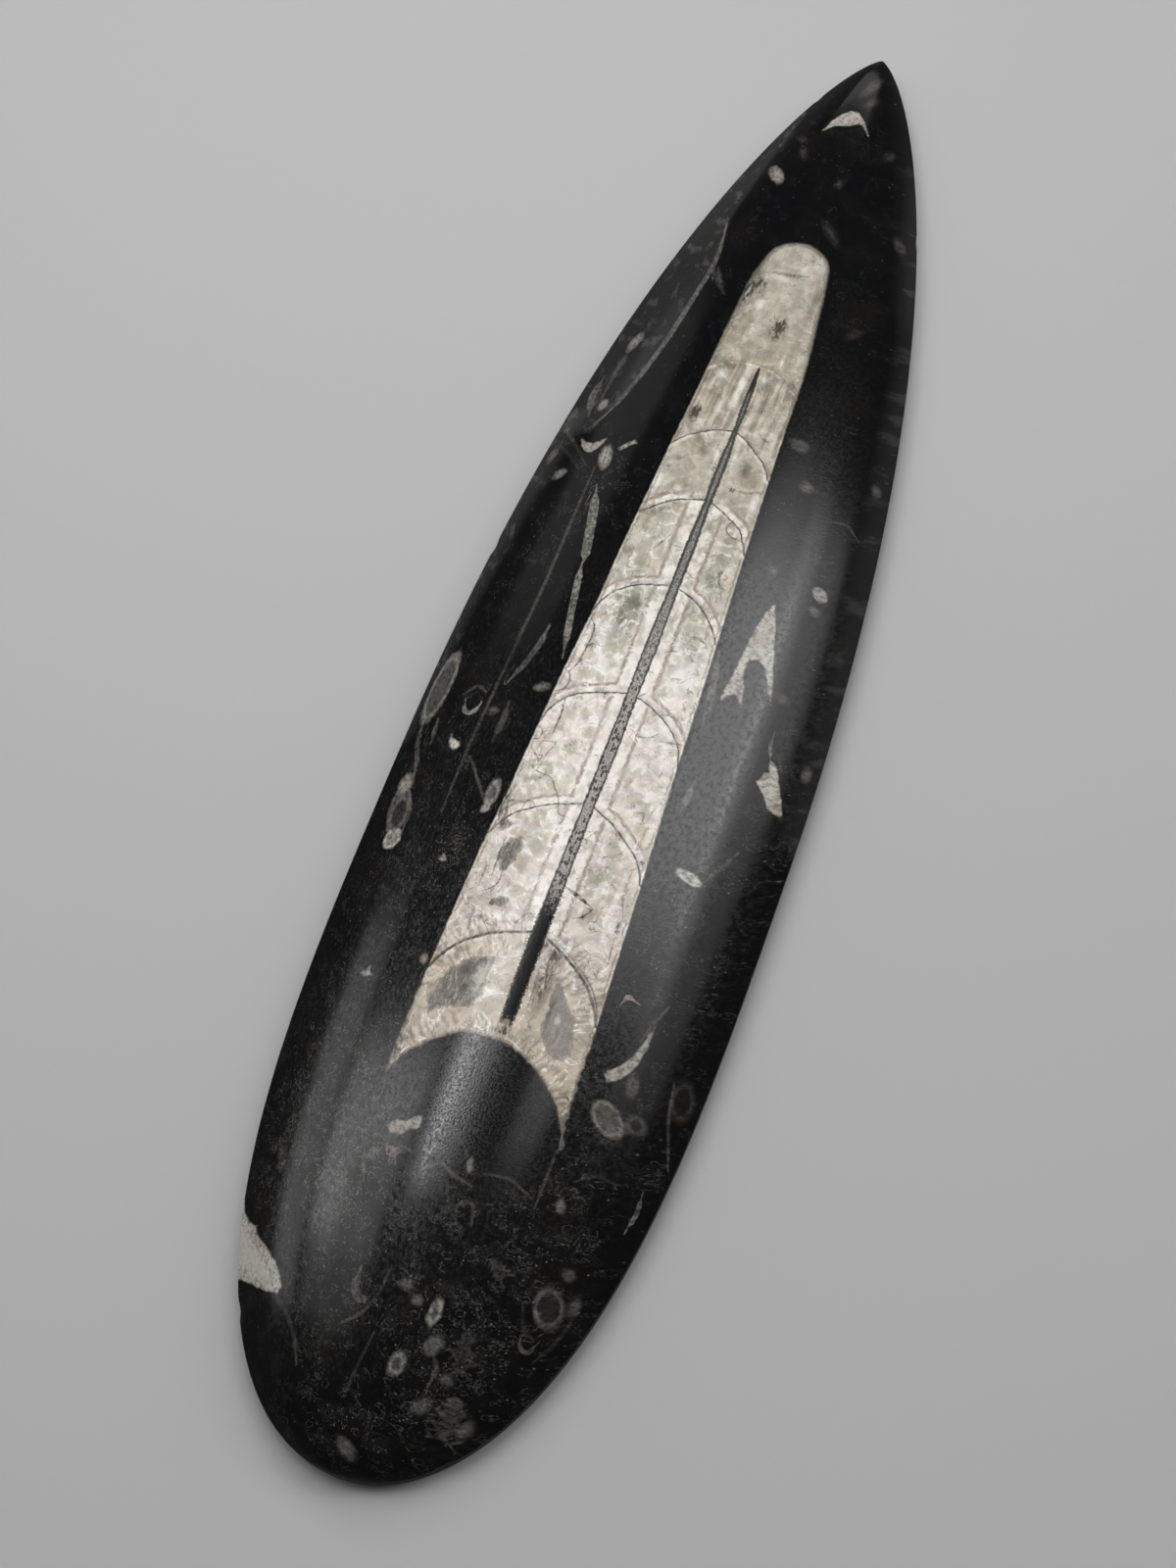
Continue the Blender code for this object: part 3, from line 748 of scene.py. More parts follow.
def marking_fields(x, y):
    """Every field that the material reads, by name."""
    line_offset, line_near, line_half, line_tone = line_fields(x, y)
    scrap_depth, scrap_rim, scrap_core = scrap_fields(x, y)
    mud, mud_tone_and_sheen = mud_fields(x, y)
    return {
        **shell_fields(x, y), "line_offset": line_offset, "line_near": line_near,
        "line_half": line_half, "line_tone": line_tone, "scrap_depth": scrap_depth,
        "scrap_rim": scrap_rim, "scrap_core": scrap_core, "quartz": deepest(x, y, QUARTZ),
        "stain": soft_spots(x, y, STAINS), "cloud": soft_spots(x, y, CLOUDS), "mud": mud,
        "mud_tone_and_sheen": mud_tone_and_sheen, "grit": GRIT_EVERYWHERE + soft_spots(x, y, GRIT), "along": y,
        "polished_mud": soft_spots(x, y, POLISHED_MUD),
    }


# ---------------------------------------------------------------------------
# The mesh
# ---------------------------------------------------------------------------
# The place in millimetres that the patterns are drawn at. It slants a little with height, so
# that the patterns run on down the rim.
PLAN = "plan"
RIM_SLANT = 0.6
# The layout for baking: four square cells, three for the dome's parts and one for the rest
UV_NAME = "OFBake"
CELL = 0.5
CELL_MARGIN = 0.006
TOP_PARTS = 3
WELD_DISTANCE = 0.0005
SHARP_ANGLE = 40


def bake_places(points, faces, below_dome):
    """Where each face corner goes in the square: the top in three parts, then the rest."""
    part_length = LENGTH / TOP_PARTS
    span = CELL - 2 * CELL_MARGIN
    corners = points[faces]
    middle = corners[..., 1].mean(axis=1)
    part = np.clip(((LENGTH / 2 - middle) / part_length).astype(int), 0, TOP_PARTS - 1)
    start = LENGTH / 2 - (part + 1) * part_length
    u = (corners[..., 0] / part_length + 0.5) * span
    v = (corners[..., 1] - start[:, None]) / part_length * span
    cell_u = (part % 2) * CELL + CELL_MARGIN
    cell_v = (part // 2) * CELL + CELL_MARGIN
    top = np.stack([u + cell_u[:, None], v + cell_v[:, None]], axis=-1)
    spread = 1 + corners[..., 2] / (WIDTH / 2)
    reach = LENGTH + 2 * RIM_HEIGHT
    wide = WIDTH + 2 * RIM_HEIGHT
    u = (corners[..., 0] * spread / wide + 0.5) * span + CELL + CELL_MARGIN
    v = (corners[..., 1] * (1 + corners[..., 2] / (LENGTH / 2)) / reach + 0.5) * span
    rest = np.stack([u, v + CELL + CELL_MARGIN], axis=-1)
    return np.where(below_dome[:, None, None], rest, top)


def ring_faces(rows, columns):
    """Quads between each ring and the next, closed round the section."""
    row = np.arange(rows - 1)[:, None]
    column = np.arange(columns)[None, :]
    after = (column + 1) % columns
    quads = [row * columns + column, row * columns + after,
             (row + 1) * columns + after, (row + 1) * columns + column]
    return np.stack(quads, axis=-1).reshape(-1, 4)


def build_stone():
    points, polish = stone_points()
    points = knock_chips(points)
    rows, columns, _ = points.shape
    points = points.reshape(-1, 3)
    polish = polish.reshape(-1)
    faces = ring_faces(rows, columns)
    mesh = bpy.data.meshes.new("polished_stone")
    mesh.from_pydata((points * MM).tolist(), [], faces.tolist())
    fields = {**marking_fields(*drawing_place(points)), "polish": polish}
    for name, values in fields.items():
        layer = mesh.attributes.new(name, "FLOAT", "POINT")
        layer.data.foreach_set("value", values.astype(np.float32))
    plan = mesh.attributes.new(PLAN, "FLOAT_VECTOR", "POINT")
    flat = points * (1.0, 1.0, 0.0) + points[:, 2:3] * (RIM_SLANT, RIM_SLANT, 0.0)
    plan.data.foreach_set("vector", flat.reshape(-1).astype(np.float32))
    below_dome = polish[faces].min(axis=1) < 1
    places = bake_places(points, faces, below_dome)
    uv = mesh.uv_layers.new(name=UV_NAME)
    uv.data.foreach_set("uv", places.reshape(-1).astype(np.float32))
    weld_ends(mesh)
    mesh.shade_smooth()
    mesh.set_sharp_from_angle(angle=math.radians(SHARP_ANGLE))
    stone = bpy.data.objects.new("polished_stone", mesh)
    bpy.context.scene.collection.objects.link(stone)
    return stone


def weld_ends(mesh):
    """Merges the points that meet at the point and at the round end."""
    shape = bmesh.new()
    shape.from_mesh(mesh)
    bmesh.ops.remove_doubles(shape, verts=shape.verts, dist=WELD_DISTANCE * MM)
    bmesh.ops.recalc_face_normals(shape, faces=shape.faces)
    shape.to_mesh(mesh)
    shape.free()


# ---------------------------------------------------------------------------
# Materials: a small notation for node graphs
# ---------------------------------------------------------------------------
def arithmetic(operation, mirrored=False):
    """An operator of Signal: one math node, with the signal second where mirrored."""
    def operate(signal, other):
        values = (other, signal) if mirrored else (signal, other)
        return signal.graph.math(operation, *values)
    return operate


class Signal:
    """A number, place or colour that flows through a material, with arithmetic."""

    def __init__(self, graph, socket):
        self.graph = graph
        self.socket = socket

    __add__ = arithmetic("ADD")
    __radd__ = arithmetic("ADD", mirrored=True)
    __sub__ = arithmetic("SUBTRACT")
    __rsub__ = arithmetic("SUBTRACT", mirrored=True)
    __mul__ = arithmetic("MULTIPLY")

    def __abs__(self):
        return self.graph.math("ABSOLUTE", self)

    def ramp(self, start, end, low=0, high=1):
        """Smoothly from low where the signal is at start to high where it is at end."""
        node = self.graph.add("ShaderNodeMapRange")
        node.interpolation_type = "SMOOTHSTEP"
        return self.graph.feed(node, enumerate((self, start, end, low, high)))

    def band(self, half, soft):
        """1 where the signal is within half of zero, falling to 0 over a soft edge."""
        return abs(self).ramp(half + soft, half)


# How far each seed moves a noise or cells, and how unlike the move is in X, Y and Z
NOISE_SHIFT = 17.3
CELLS_SHIFT = 23.9
SHIFT_SKEW = (1, 0.7, 1.3)
EVEN = (1, 1, 1)


class Graph:
    """Builds one material's nodes."""

    def __init__(self, name):
        self.material = bpy.data.materials.new(name)
        self.material.use_nodes = True
        self.tree = self.material.node_tree
        self.shader = self.tree.nodes["Principled BSDF"]
        self.place = self.field(PLAN, "Vector")

    def add(self, kind):
        return self.tree.nodes.new(kind)

    def wire(self, value, socket):
        """Feeds a socket with a signal, or sets it to a number or tuple."""
        if isinstance(value, Signal):
            self.tree.links.new(value.socket, socket)
        else:
            socket.default_value = value

    def feed(self, node, inputs, output=0):
        """Feeds a node's inputs, given by name or number, and gives one of its outputs."""
        for key, value in inputs:
            self.wire(value, node.inputs[key])
        return Signal(self, node.outputs[output])

    def field(self, name, output="Fac"):
        """A marking field, or a place, stored on the mesh."""
        node = self.add("ShaderNodeAttribute")
        node.attribute_name = name
        return Signal(self, node.outputs[output])

    def math(self, operation, *values, kind="ShaderNodeMath"):
        node = self.add(kind)
        node.operation = operation
        return self.feed(node, enumerate(values))

    def least(self, *values):
        result = values[0]
        for value in values[1:]:
            result = self.math("MINIMUM", result, value)
        return result

    def most(self, one, other):
        return self.math("MAXIMUM", one, other)

    def together(self, *values):
        """A place made of up to three numbers."""
        return self.feed(self.add("ShaderNodeCombineXYZ"), enumerate(values))

    def moved(self, shift, stretch):
        """The place in millimetres, stretched and moved to another part of a pattern."""
        move = tuple(shift * skew for skew in SHIFT_SKEW)
        return self.math("MULTIPLY_ADD", self.place, stretch, move, kind="ShaderNodeVectorMath")

    def pushed(self, aside, along, reach):
        """The place in millimetres, pushed about by two noises, so that patterns turn organic."""
        push = (self.together(aside, along), (reach, reach, 0), self.place)
        return self.math("MULTIPLY_ADD", *push, kind="ShaderNodeVectorMath")

    def noise(self, per_mm, seed, detail=2, roughness=0.5, twist=0, stretch=EVEN, place=None):
        node = self.add("ShaderNodeTexNoise")
        node.noise_dimensions = "2D"
        place = place or self.moved(seed * NOISE_SHIFT, stretch)
        inputs = {"Vector": place, "Scale": per_mm, "Detail": detail, "Roughness": roughness,
                  "Distortion": twist}
        return self.feed(node, inputs.items(), "Fac")

    def cells(self, per_mm, seed, stretch=EVEN, place=None):
        """Voronoi cells: the distance, and a random number for each cell."""
        node = self.add("ShaderNodeTexVoronoi")
        node.voronoi_dimensions = "2D"
        place = place or self.moved(seed * CELLS_SHIFT, stretch)
        distance = self.feed(node, {"Vector": place, "Scale": per_mm}.items(), "Distance")
        colour = Signal(self, node.outputs["Color"])
        return distance, self.feed(self.add("ShaderNodeSeparateColor"), [(0, colour)])

    def blend(self, base, top, amount, mode="MIX"):
        """Lays one colour over another."""
        node = self.add("ShaderNodeMix")
        node.data_type = "RGBA"
        node.blend_type = mode
        base, top = [(*value, 1) if isinstance(value, tuple) else value for value in (base, top)]
        return self.feed(node, {"Factor": amount, 6: base, 7: top}.items(), 2)

    def bump(self, height, depth_mm):
        inputs = {"Strength": 1, "Distance": depth_mm * MM, "Height": height}
        return self.feed(self.add("ShaderNodeBump"), inputs.items())


class Paint:
    """A colour built up coat by coat."""

    def __init__(self, graph, colour):
        self.graph = graph
        self.colour = colour

    def coat(self, colour, amount, mode="MIX"):
        self.colour = self.graph.blend(self.colour, colour, amount, mode)

    def tint(self, colour, amount=1):
        self.coat(colour, amount, "MULTIPLY")


# ---------------------------------------------------------------------------
# The stone's material
# ---------------------------------------------------------------------------
BLACK = (0.0027, 0.0029, 0.0034)
BROWN_BLACK = (0.0064, 0.0052, 0.0047)
GRIT_PALE = (0.29, 0.29, 0.285)
SCRAP_PALE = (0.72, 0.68, 0.6)
SCRAP_PINK = (0.5, 0.4, 0.33)
VEIN_BROWN = (0.05, 0.036, 0.026)
CRYSTAL_WHITE = (0.92, 0.89, 0.84)
SHELL_TIP = (0.46, 0.43, 0.36)

# The shell's colour below its tip: where each next colour starts, where it is full, and what it is.
# The palest, from 5 to -4 mm, is partly the shell's own tone and partly painted sheen.
SHELL_TINTS_AND_SHEEN = [
    (40, 31, (0.43, 0.392, 0.312)),
    (29, 20, (0.5, 0.465, 0.385)),
    (14, 6, (0.58, 0.545, 0.465)),
    (5, -4, (0.78, 0.722, 0.65)),
    (-14, -26, (0.68, 0.62, 0.548)),
    (-29, -35, (0.54, 0.468, 0.374)),
]


def limestone_colour(graph, patches):
    """Black mud, with curls, fibres and specks of shell where they lie thick, and painted sheen on
    its edges and slopes.
    """
    grit = graph.field("grit") * (1 - graph.field("mud") * 0.9)
    paint = Paint(graph, graph.blend(BLACK, BROWN_BLACK, (patches + grit * 0.2).ramp(0.45, 0.8)))
    dense = graph.noise(0.5, 30, detail=3, roughness=0.6)
    dense = (dense + grit * 0.14).ramp(0.54, 0.7)
    curl = graph.noise(0.85, 2, detail=2.5, roughness=0.6, twist=1.3)
    curls = (curl - 0.5).band(0.006, 0.04) * dense
    powder = graph.noise(5, 6, detail=2, roughness=0.75)
    paint.coat(GRIT_PALE, curls * (0.045 + grit * 0.22) * powder.ramp(0.36, 0.6))
    # a pale haze of grit, which in the grit spots on the right-hand sheen is painted sheen
    grit_haze_and_sheen = (curl + powder * 0.5).ramp(0.74, 1) * (0.005 + dense * (0.008 + grit * 0.034))
    paint.coat(GRIT_PALE, grit_haze_and_sheen)
    ring, chance = graph.cells(1, 5, place=graph.pushed(curl, dense, 1.2))
    rings = (ring - 0.3).band(0.01, 0.08) * (chance + grit * 0.3).ramp(0.86, 1)
    paint.coat(GRIT_PALE, rings * powder.ramp(0.38, 0.62) * (0.06 + grit * 0.28))
    distance, chance = graph.cells(4, 3, stretch=(1, 0.75, 1))
    speck = (distance + powder * 0.25).ramp(0.48, 0.16) * (chance + grit * 0.035).ramp(0.975, 1.045)
    paint.coat(GRIT_PALE, speck * 0.8)
    # paler mud, and painted sheen on the dome's edges and slopes, added to the colour
    lift = graph.field("mud_tone_and_sheen") * (0.5 + dense * 0.8)
    paint.coat((1, 1, 0.98), lift, "ADD")
    return paint.colour


def calcite_colour(graph, wobble, fine_wobble):
    """The shell: clouded calcite between thin chamber walls, with a pale lining and a tube, painted
    sheen in its pale middle and painted glints.
    """
    along = graph.field("along")
    into = graph.field("into_shell")
    septum = graph.field("septum")
    tube = abs(graph.field("tube_offset"))

    paint = Paint(graph, SHELL_TIP)
    # the shell's tone down its length; the pale middle is partly painted sheen
    for start, end, tint in SHELL_TINTS_AND_SHEEN:
        paint.coat(tint, along.ramp(start, end))

    # milky calcite, with clear greenish crystals in the heart of each chamber half
    cloud = graph.noise(0.4, 13, detail=2.5, roughness=0.55, twist=0.2)
    milk = graph.noise(0.8, 16, detail=3.5, roughness=0.58, twist=0.15)
    grain = graph.noise(6, 17, detail=2, roughness=0.75)
    corner, crystal = graph.cells(0.62, 15, place=graph.pushed(milk, cloud, 2.2))
    above_wall = septum + septum.ramp(0.02, -0.02, 0, 4)
    chambered = along.ramp(18, 10)
    deep = graph.least(tube - 1.9, above_wall - 1.1, into - 0.9) + wobble * 1.1
    heart = deep.ramp(-0.15, 0.5, 0.1, 1) * along.ramp(-29, -27)
    paint.tint((1.03, 0.985, 0.955), cloud.ramp(0.5, 0.66))
    shade = 0.7 + milk.ramp(0.3, 0.66, 0, 0.3) + grain * 0.22
    paint.tint(shade)
    clear_crystal = (corner + fine_wobble * 0.12).ramp(0.56, 0.36) * crystal.ramp(0.25, 0.45)
    paint.tint((0.775, 0.785, 0.72), clear_crystal * heart)
    pale_edge = (corner + fine_wobble * 0.12 - 0.56).band(0.03, 0.12) * milk.ramp(0.38, 0.56)
    paint.coat(CRYSTAL_WHITE, pale_edge * heart * chambered * 0.62)
    streak = graph.noise(1, 18, detail=1, stretch=(1.9, 0.16, 1))
    banded = along.ramp(30.5, 29.5) * along.ramp(19, 23)
    paint.tint(streak.ramp(0.36, 0.62, 0.74, 1.2), banded)

    # the listed clouds, broken up by the same crystals
    spots = graph.field("cloud") * (milk + cloud).ramp(0.72, 1.18, 0.55, 1.35)
    paint.tint((0.5, 0.505, 0.47), spots.ramp(0, 1.2))
    paint.coat(CRYSTAL_WHITE, spots.ramp(-0.05, -1.1) * 0.8)

    # the milky lining on the tube and above each wall, with a soft brown seam beyond it
    beyond = graph.least(tube - 1.68, above_wall - 0.82) + wobble * 0.42 + fine_wobble * 0.1
    lined = along.ramp(15.2, 13.8) * (along + septum * 0.3).ramp(-30, -28.8)
    lining = beyond.ramp(0.1, -0.2) * milk.ramp(0.32, 0.58, 0.2, 1) * lined
    paint.coat((0.93, 0.875, 0.815), lining * streak.ramp(0.3, 0.6, 0.45, 0.8))
    seam = beyond.band(0.03, 0.24) * lined * milk.ramp(0.34, 0.54, 0.4, 1)
    margin = (into - 1 + wobble * 1.3).band(0.02, 0.17) * lined * cloud.ramp(0.48, 0.58)
    seam = graph.most(seam, margin * 0.8)
    paint.coat((0.25, 0.18, 0.13), seam * 0.75)

    # the fibres that stand on the walls of the last chambers
    fibre = graph.noise(2.6, 19, detail=2, roughness=0.6,
                        place=graph.together(graph.field("around"), septum * 0.3, 7))
    fibrous = along.ramp(-26, -31, 0.25, 1) * abs(septum).ramp(2.4, 1.4)
    paint.tint(fibre.ramp(0.34, 0.62, 0.66, 1.15), fibrous)

    # fine white and brown threads along the crystals, here and there, and dark freckles
    stroke = graph.noise(1.6, 22, detail=3.5, roughness=0.72, twist=0.3, stretch=(1.9, 0.7, 1))
    thread = graph.noise(0.55, 20, detail=3, roughness=0.55, twist=0.5)
    clear = along.ramp(12, -4, 0.25, 1)
    white_thread = (thread - 0.56).band(0.006, 0.022) * milk.ramp(0.4, 0.58)
    paint.coat((0.98, 0.97, 0.94), white_thread * clear * 0.75)
    web = (thread - 0.45).band(0.002, 0.012) * cloud.ramp(0.54, 0.46)
    paint.coat((0.17, 0.125, 0.09), web * 0.7)
    freckle = (stroke + milk * 0.4).ramp(0.5, 0.42) * clear
    paint.coat((0.12, 0.095, 0.075), freckle * 0.45)
    # white specks: painted glints of the crystal faces
    painted_glints = (grain + milk * 0.5).ramp(0.94, 1.02)
    paint.coat((0.95, 0.94, 0.91), painted_glints * 0.45)

    # the shell's own wall, a brown line close inside its edge
    wall = (into - 0.24 + fine_wobble * 0.35).band(0.02, 0.13)
    paint.coat((0.17, 0.13, 0.1), wall * cloud.ramp(0.42, 0.56, 0.15, 0.65))

    # the dark quartz, and stains, drawn in strokes
    quartz = graph.field("quartz") + wobble * 0.55 + fine_wobble * 0.2
    thick = stroke.ramp(0.36, 0.56, 0.8, 1)
    smoky = (stroke + grain * 0.25).ramp(0.5, 0.8)
    dark = graph.blend((0.035, 0.031, 0.027), (0.36, 0.325, 0.285), smoky)
    dark = graph.blend(dark, (0.31, 0.28, 0.25), graph.field("tube_offset").ramp(0, 3, 0, 0.5))
    paint.coat((0.12, 0.09, 0.07), quartz.band(0.01, 0.12) * 0.5)
    paint.coat(dark, quartz.ramp(-0.05, 0.18) * spots.ramp(-0.9, -0.2, 0.55, 0.95) * thick)
    stain = graph.field("stain") * stroke.ramp(0.38, 0.62, 0.45, 1.45)
    paint.coat((0.055, 0.043, 0.032), stain.ramp(0.06, 1.05) * 0.92)

    # chamber walls: a dark line, heavier on the last two, with white crystals under it
    heavy = along.ramp(-25, -28)
    first = along.ramp(27, 24, 0.25, 1)
    under = septum.ramp(-0.55, -0.18) * septum.ramp(0, -0.12)
    paint.coat(CRYSTAL_WHITE, under * milk.ramp(0.38, 0.58) * 0.45)
    above = septum.ramp(0.7, 0.05) * septum.ramp(-0.05, 0.05)
    paint.coat((0.22, 0.17, 0.125), above * first * cloud.ramp(0.56, 0.42) * 0.5)
    half = 0.025 + heavy * 0.045
    line = abs(septum + fine_wobble * 0.16).ramp(half + 0.11, half)
    line_shade = streak.ramp(0.35, 0.6, 0.55, 0.92)
    paint.coat((0.05, 0.04, 0.033), line * first * line_shade)
    lay_tube(graph, paint, tube, along, fine_wobble, grain)
    return paint.colour


def lay_tube(graph, paint, tube, along, fine_wobble, grain):
    """The siphuncle: a dark slit, then pale fill between two dark walls, then a black rod."""
    cool = graph.blend((0.1, 0.102, 0.096), (0.32, 0.318, 0.3), grain.ramp(0.34, 0.62))
    warm = graph.blend((0.2, 0.182, 0.168), (0.55, 0.505, 0.47), grain.ramp(0.36, 0.64))
    fill = Paint(graph, cool)
    fill.coat(warm, along.ramp(8, -6))
    speck, chance = graph.cells(3.6, 23, stretch=(1.1, 0.6, 1))
    speckled = (speck + fine_wobble * 0.6).ramp(0.5, 0.3) * chance.ramp(0.46, 0.58)
    fill.coat((0.035, 0.032, 0.03), speckled * along.ramp(8, -10, 0.2, 0.9))
    slit = along.ramp(26.2, 27.8)
    rod = (along + grain * 3 + fine_wobble * 2).ramp(-23, -26.6)
    fill.coat((0.006, 0.006, 0.006), graph.most(slit, rod))
    ragged = fine_wobble * 0.16 + (grain - 0.5) * along.ramp(-24, -28, 0.15, 0.6)
    edge = tube - graph.field("tube_half") + ragged
    shown = along.ramp(30.2, 29.6) * (along + fine_wobble * 1.2).ramp(-38.2, -37.2)
    paint.coat(fill.colour, edge.ramp(0.03, -0.06) * shown)
    thick = along.ramp(0, 12, 0, 0.045)
    wall = (edge + 0.08 + thick).band(0.035 + thick, 0.1) * shown
    paint.coat((0.04, 0.036, 0.033), wall * 0.82)


def build_material():
    graph = Graph("polished limestone and calcite")
    wobble = graph.noise(1.5, 31, detail=2) - 0.5
    fine_wobble = graph.noise(2.2, 12, detail=1) - 0.5
    patches = graph.noise(0.2, 1, detail=3)
    stone = limestone_colour(graph, patches)
    shell = calcite_colour(graph, wobble, fine_wobble)

    mouth = graph.field("along").ramp(-34, -42)
    edge = graph.field("into_shell") + fine_wobble * 0.05 + wobble * (0.12 + mouth * 0.36)
    far = graph.field("along").ramp(22, 40)
    in_shell = edge.ramp(-0.09 - far * 0.16, 0.1 + mouth * 0.3 + far * 0.28)
    paint = Paint(graph, stone)
    paint.coat(shell, in_shell)

    # scraps: cloudy calcite, pinkish in places, with a rim and a core
    depth = graph.field("scrap_depth") + wobble * 0.24 + fine_wobble * 0.1
    rim_tone = graph.field("scrap_rim")
    soft = rim_tone.ramp(0.12, 0.5, 0.34, 0.12)
    tone = rim_tone + (graph.field("scrap_core") - rim_tone) * depth.ramp(0.12, 0.34)
    cloud = graph.noise(2.4, 33, detail=3.5, roughness=0.72)
    large = graph.field("scrap_depth").ramp(0.5, 1.1)
    cloud = cloud.ramp(0.34, 0.6, 0.4 + large * 0.46, 1.08)
    pinkish = patches.ramp(0.5, 0.65) * rim_tone.ramp(0.1, 0.4, 0.15, 0.6)
    calcite = graph.blend(SCRAP_PALE, SCRAP_PINK, pinkish)
    in_scrap = depth.ramp(0 - soft, soft)
    paint.coat(calcite, in_scrap * tone * cloud)

    # fine lines: pale in the stone, dark veins or white needles in the shell
    line_tone = graph.field("line_tone")
    half = graph.field("line_half")
    offset = abs(graph.field("line_offset") + fine_wobble * 0.07)
    faint = abs(line_tone).ramp(0.1, 0.35, 0.16, 0.05)
    drawn = offset.ramp(half + faint, graph.most(half - faint, 0))
    drawn = drawn * graph.field("line_near").ramp(0.75, 0.45)
    drawn = drawn * cloud * graph.field("along").ramp(-42, -49, 1, 0.6)
    pale = graph.most(line_tone, 0) * (patches + fine_wobble * 0.5).ramp(0.4, 0.62, 0.45, 1)
    paint.coat(calcite, drawn * pale)
    vein = graph.most(0 - line_tone, 0)
    paint.coat(VEIN_BROWN, drawn * vein * in_shell)

    # the ground base: sawn, dull and greyer, with saw marks
    polish = graph.field("polish")
    ground = polish.ramp(0.5, 0.05)
    saw = graph.noise(0.5, 36, detail=3, stretch=(0.12, 6, 1))
    dull = graph.blend((0.03, 0.03, 0.031), (0.085, 0.083, 0.08), saw.ramp(0.35, 0.7))
    paint.coat(dull, ground)
    # the rim, bevel and base: a flat grey, partly their duller polish and partly painted reflection
    # of the floor, which the stone does not mirror
    paint.coat((0.06, 0.06, 0.061), polish.ramp(0.99, 0.8) * 0.8)
    graph.wire(paint.colour, graph.shader.inputs["Base Color"])

    # polish: a mirror in fine mud and in the tube, duller in the calcite and on the base
    mottle = graph.noise(2.2, 41, detail=2.5, roughness=0.65, stretch=(1.4, 0.8, 1))
    smooth = graph.field("along").ramp(-4, 20, 0, 0.75)
    pits = graph.noise(5.2, 39, detail=1, roughness=0.6)
    mirror = graph.field("polished_mud")
    rough = 0.12 + mottle.ramp(0.38, 0.68, 0, 0.14) * (1 - graph.most(mirror, smooth))
    rough = rough + pits.ramp(0.44, 0.6) * (0.03 + mirror * 0.13)
    in_tube = abs(graph.field("tube_offset")).ramp(0.9, 0.6)
    rough = rough + in_shell * (0.24 - in_tube * 0.16 - rough) * 0.9
    rough = rough + polish.ramp(1, 0.2, 0, 0.45)
    graph.wire(rough, graph.shader.inputs["Roughness"])
    graph.shader.inputs["Metallic"].default_value = 0
    graph.shader.inputs["IOR"].default_value = 1.55

    normal = graph.bump(pits * (0.2 + mirror * 0.35), 0.01)
    graph.wire(normal, graph.shader.inputs["Normal"])
    return graph.material


# ---------------------------------------------------------------------------
# Stage, lights and camera
# ---------------------------------------------------------------------------
FLOOR_SIZE = 6.0
FLOOR_COLOUR = (0.485, 0.488, 0.485)
FLOOR_ROUGHNESS = 0.85
FLOOR_SPECULAR = 0.2

# Panels as the stone mirrors them. Each is given by the direction that it lies in, as the
# X and Y parts of a unit vector from the stone, by half its spread in each, and by its radiance
PANEL_DISTANCE = 3.0
PANELS = [
    ("right_panel_core", 0.52, 0.43, 0.24, 0.12, 2.4),
    ("right_panel", 0.54, 0.43, 0.29, 0.19, 1),
    ("right_panel_far", 0.8, 0.38, 0.1, 0.22, 0.5),
    ("right_panel_top", 0.78, 0.48, 0.1, 0.11, 0.8),
    ("left_panel_core", -0.51, 0.11, 0.17, 0.055, 2.2),
    ("left_panel_far", -0.77, 0.02, 0.1, 0.13, 1.3),
    ("left_panel", -0.65, 0.03, 0.3, 0.14, 0.9),
    ("left_panel_low", -0.62, -0.16, 0.28, 0.13, 0.5),
    ("left_panel_edge", -0.955, -0.02, 0.045, 0.27, 1.15),
    ("stripe", -0.186, 0.2, 0.028, 0.16, 12.5),
    ("narrow_panel", 0.26, 0.19, 0.12, 0.1, 1.2),
    ("back_strip", -0.16, 0.92, 0.2, 0.04, 0.6),
    ("back_glow", -0.76, 0.56, 0.1, 0.12, 0.25),
]
KEY_PLACE = (-0.05, 0.08, 0.23)
KEY_SIZE = 0.24
KEY_RADIANCE = 2.4
ROOM_LIGHT = 0.04


def build_floor():
    bpy.ops.mesh.primitive_plane_add(size=FLOOR_SIZE, location=(0, 0, 0))
    floor = bpy.context.object
    floor.name = "floor"
    material = bpy.data.materials.new("pale floor")
    material.use_nodes = True
    shader = material.node_tree.nodes["Principled BSDF"]
    shader.inputs["Base Color"].default_value = (*FLOOR_COLOUR, 1.0)
    shader.inputs["Roughness"].default_value = FLOOR_ROUGHNESS
    shader.inputs["Specular IOR Level"].default_value = FLOOR_SPECULAR
    floor.data.materials.append(material)
    floor.visible_glossy = False


def lamp_at(name, place, size_x, size_y, radiance):
    """A flat lamp that faces the stone."""
    data = bpy.data.lights.new(name, "AREA")
    data.shape = "RECTANGLE"
    data.size = size_x
    data.size_y = size_y
    data.energy = radiance * size_x * size_y * math.pi
    lamp = bpy.data.objects.new(name, data)
    lamp.location = place
    facing = np.array(place) / np.linalg.norm(place)
    toward_x = np.array([1.0, 0.0, -facing[0] / facing[2]])
    toward_x /= np.linalg.norm(toward_x)
    basis = np.stack([toward_x, np.cross(facing, toward_x), facing], axis=1)
    lamp.rotation_euler = Matrix(basis.tolist()).to_euler()
    bpy.context.scene.collection.objects.link(lamp)
    return lamp


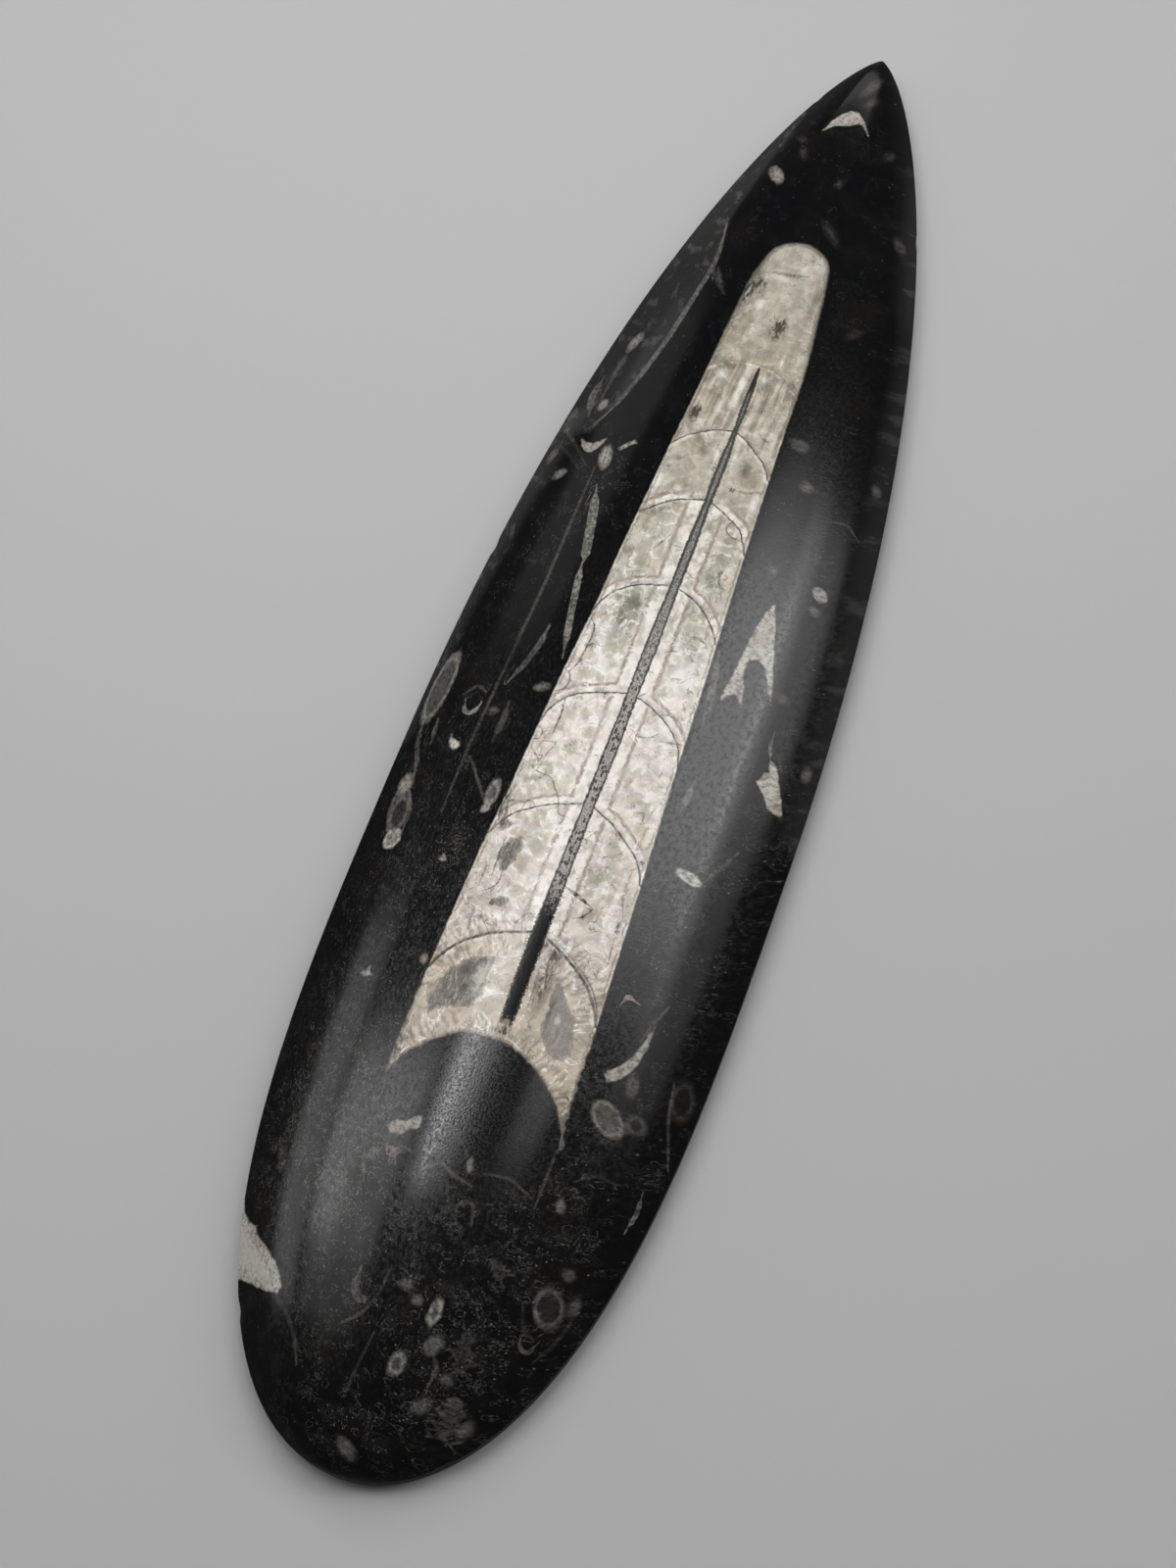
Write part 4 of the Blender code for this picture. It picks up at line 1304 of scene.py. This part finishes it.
def build_lights():
    for name, x, y, half_x, half_y, radiance in PANELS:
        z = math.sqrt(1 - x * x - y * y)
        lean = math.hypot(1.0, x / z)
        size_x = 2 * half_x * PANEL_DISTANCE * lean
        size_y = 2 * half_y * PANEL_DISTANCE / (lean * z)
        place = (x * PANEL_DISTANCE, y * PANEL_DISTANCE, z * PANEL_DISTANCE)
        lamp_at(name, place, size_x, size_y, radiance)
    key = lamp_at("key", KEY_PLACE, KEY_SIZE, KEY_SIZE, KEY_RADIANCE)
    key.visible_glossy = False
    world = bpy.data.worlds.new("dim room")
    bpy.context.scene.world = world
    world.use_nodes = True
    background = world.node_tree.nodes["Background"]
    background.inputs["Color"].default_value = (1.0, 1.0, 1.0, 1.0)
    background.inputs["Strength"].default_value = ROOM_LIGHT


# The camera, in degrees and millimetres
CAMERA_LENS = 52
CAMERA_ELEVATION = 67.4
CAMERA_AZIMUTH = 19.85
CAMERA_DISTANCE = 206.3
CAMERA_TARGET = (-1.49, -10.97)
SENSOR_WIDTH = 36
CLIP_START = 0.01


def build_camera():
    elevation = math.radians(CAMERA_ELEVATION)
    azimuth = math.radians(CAMERA_AZIMUTH)
    flat = math.cos(elevation) * CAMERA_DISTANCE
    data = bpy.data.cameras.new("camera")
    data.lens = CAMERA_LENS
    data.sensor_width = SENSOR_WIDTH
    data.clip_start = CLIP_START
    camera = bpy.data.objects.new("camera", data)
    camera.location = (
        (CAMERA_TARGET[0] + math.sin(azimuth) * flat) * MM,
        (CAMERA_TARGET[1] - math.cos(azimuth) * flat) * MM,
        math.sin(elevation) * CAMERA_DISTANCE * MM,
    )
    camera.rotation_euler = (math.radians(90) - elevation, 0.0, azimuth)
    bpy.context.scene.collection.objects.link(camera)
    bpy.context.scene.camera = camera


# ---------------------------------------------------------------------------
# Putting it together
# ---------------------------------------------------------------------------
build_camera()
build_floor()
build_lights()

stone = build_stone()
stone.data.materials.append(build_material())
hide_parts(NODE)
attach(stone, "root")

bpy.context.scene.view_settings.view_transform = "Standard"
bpy.context.view_layer.update()
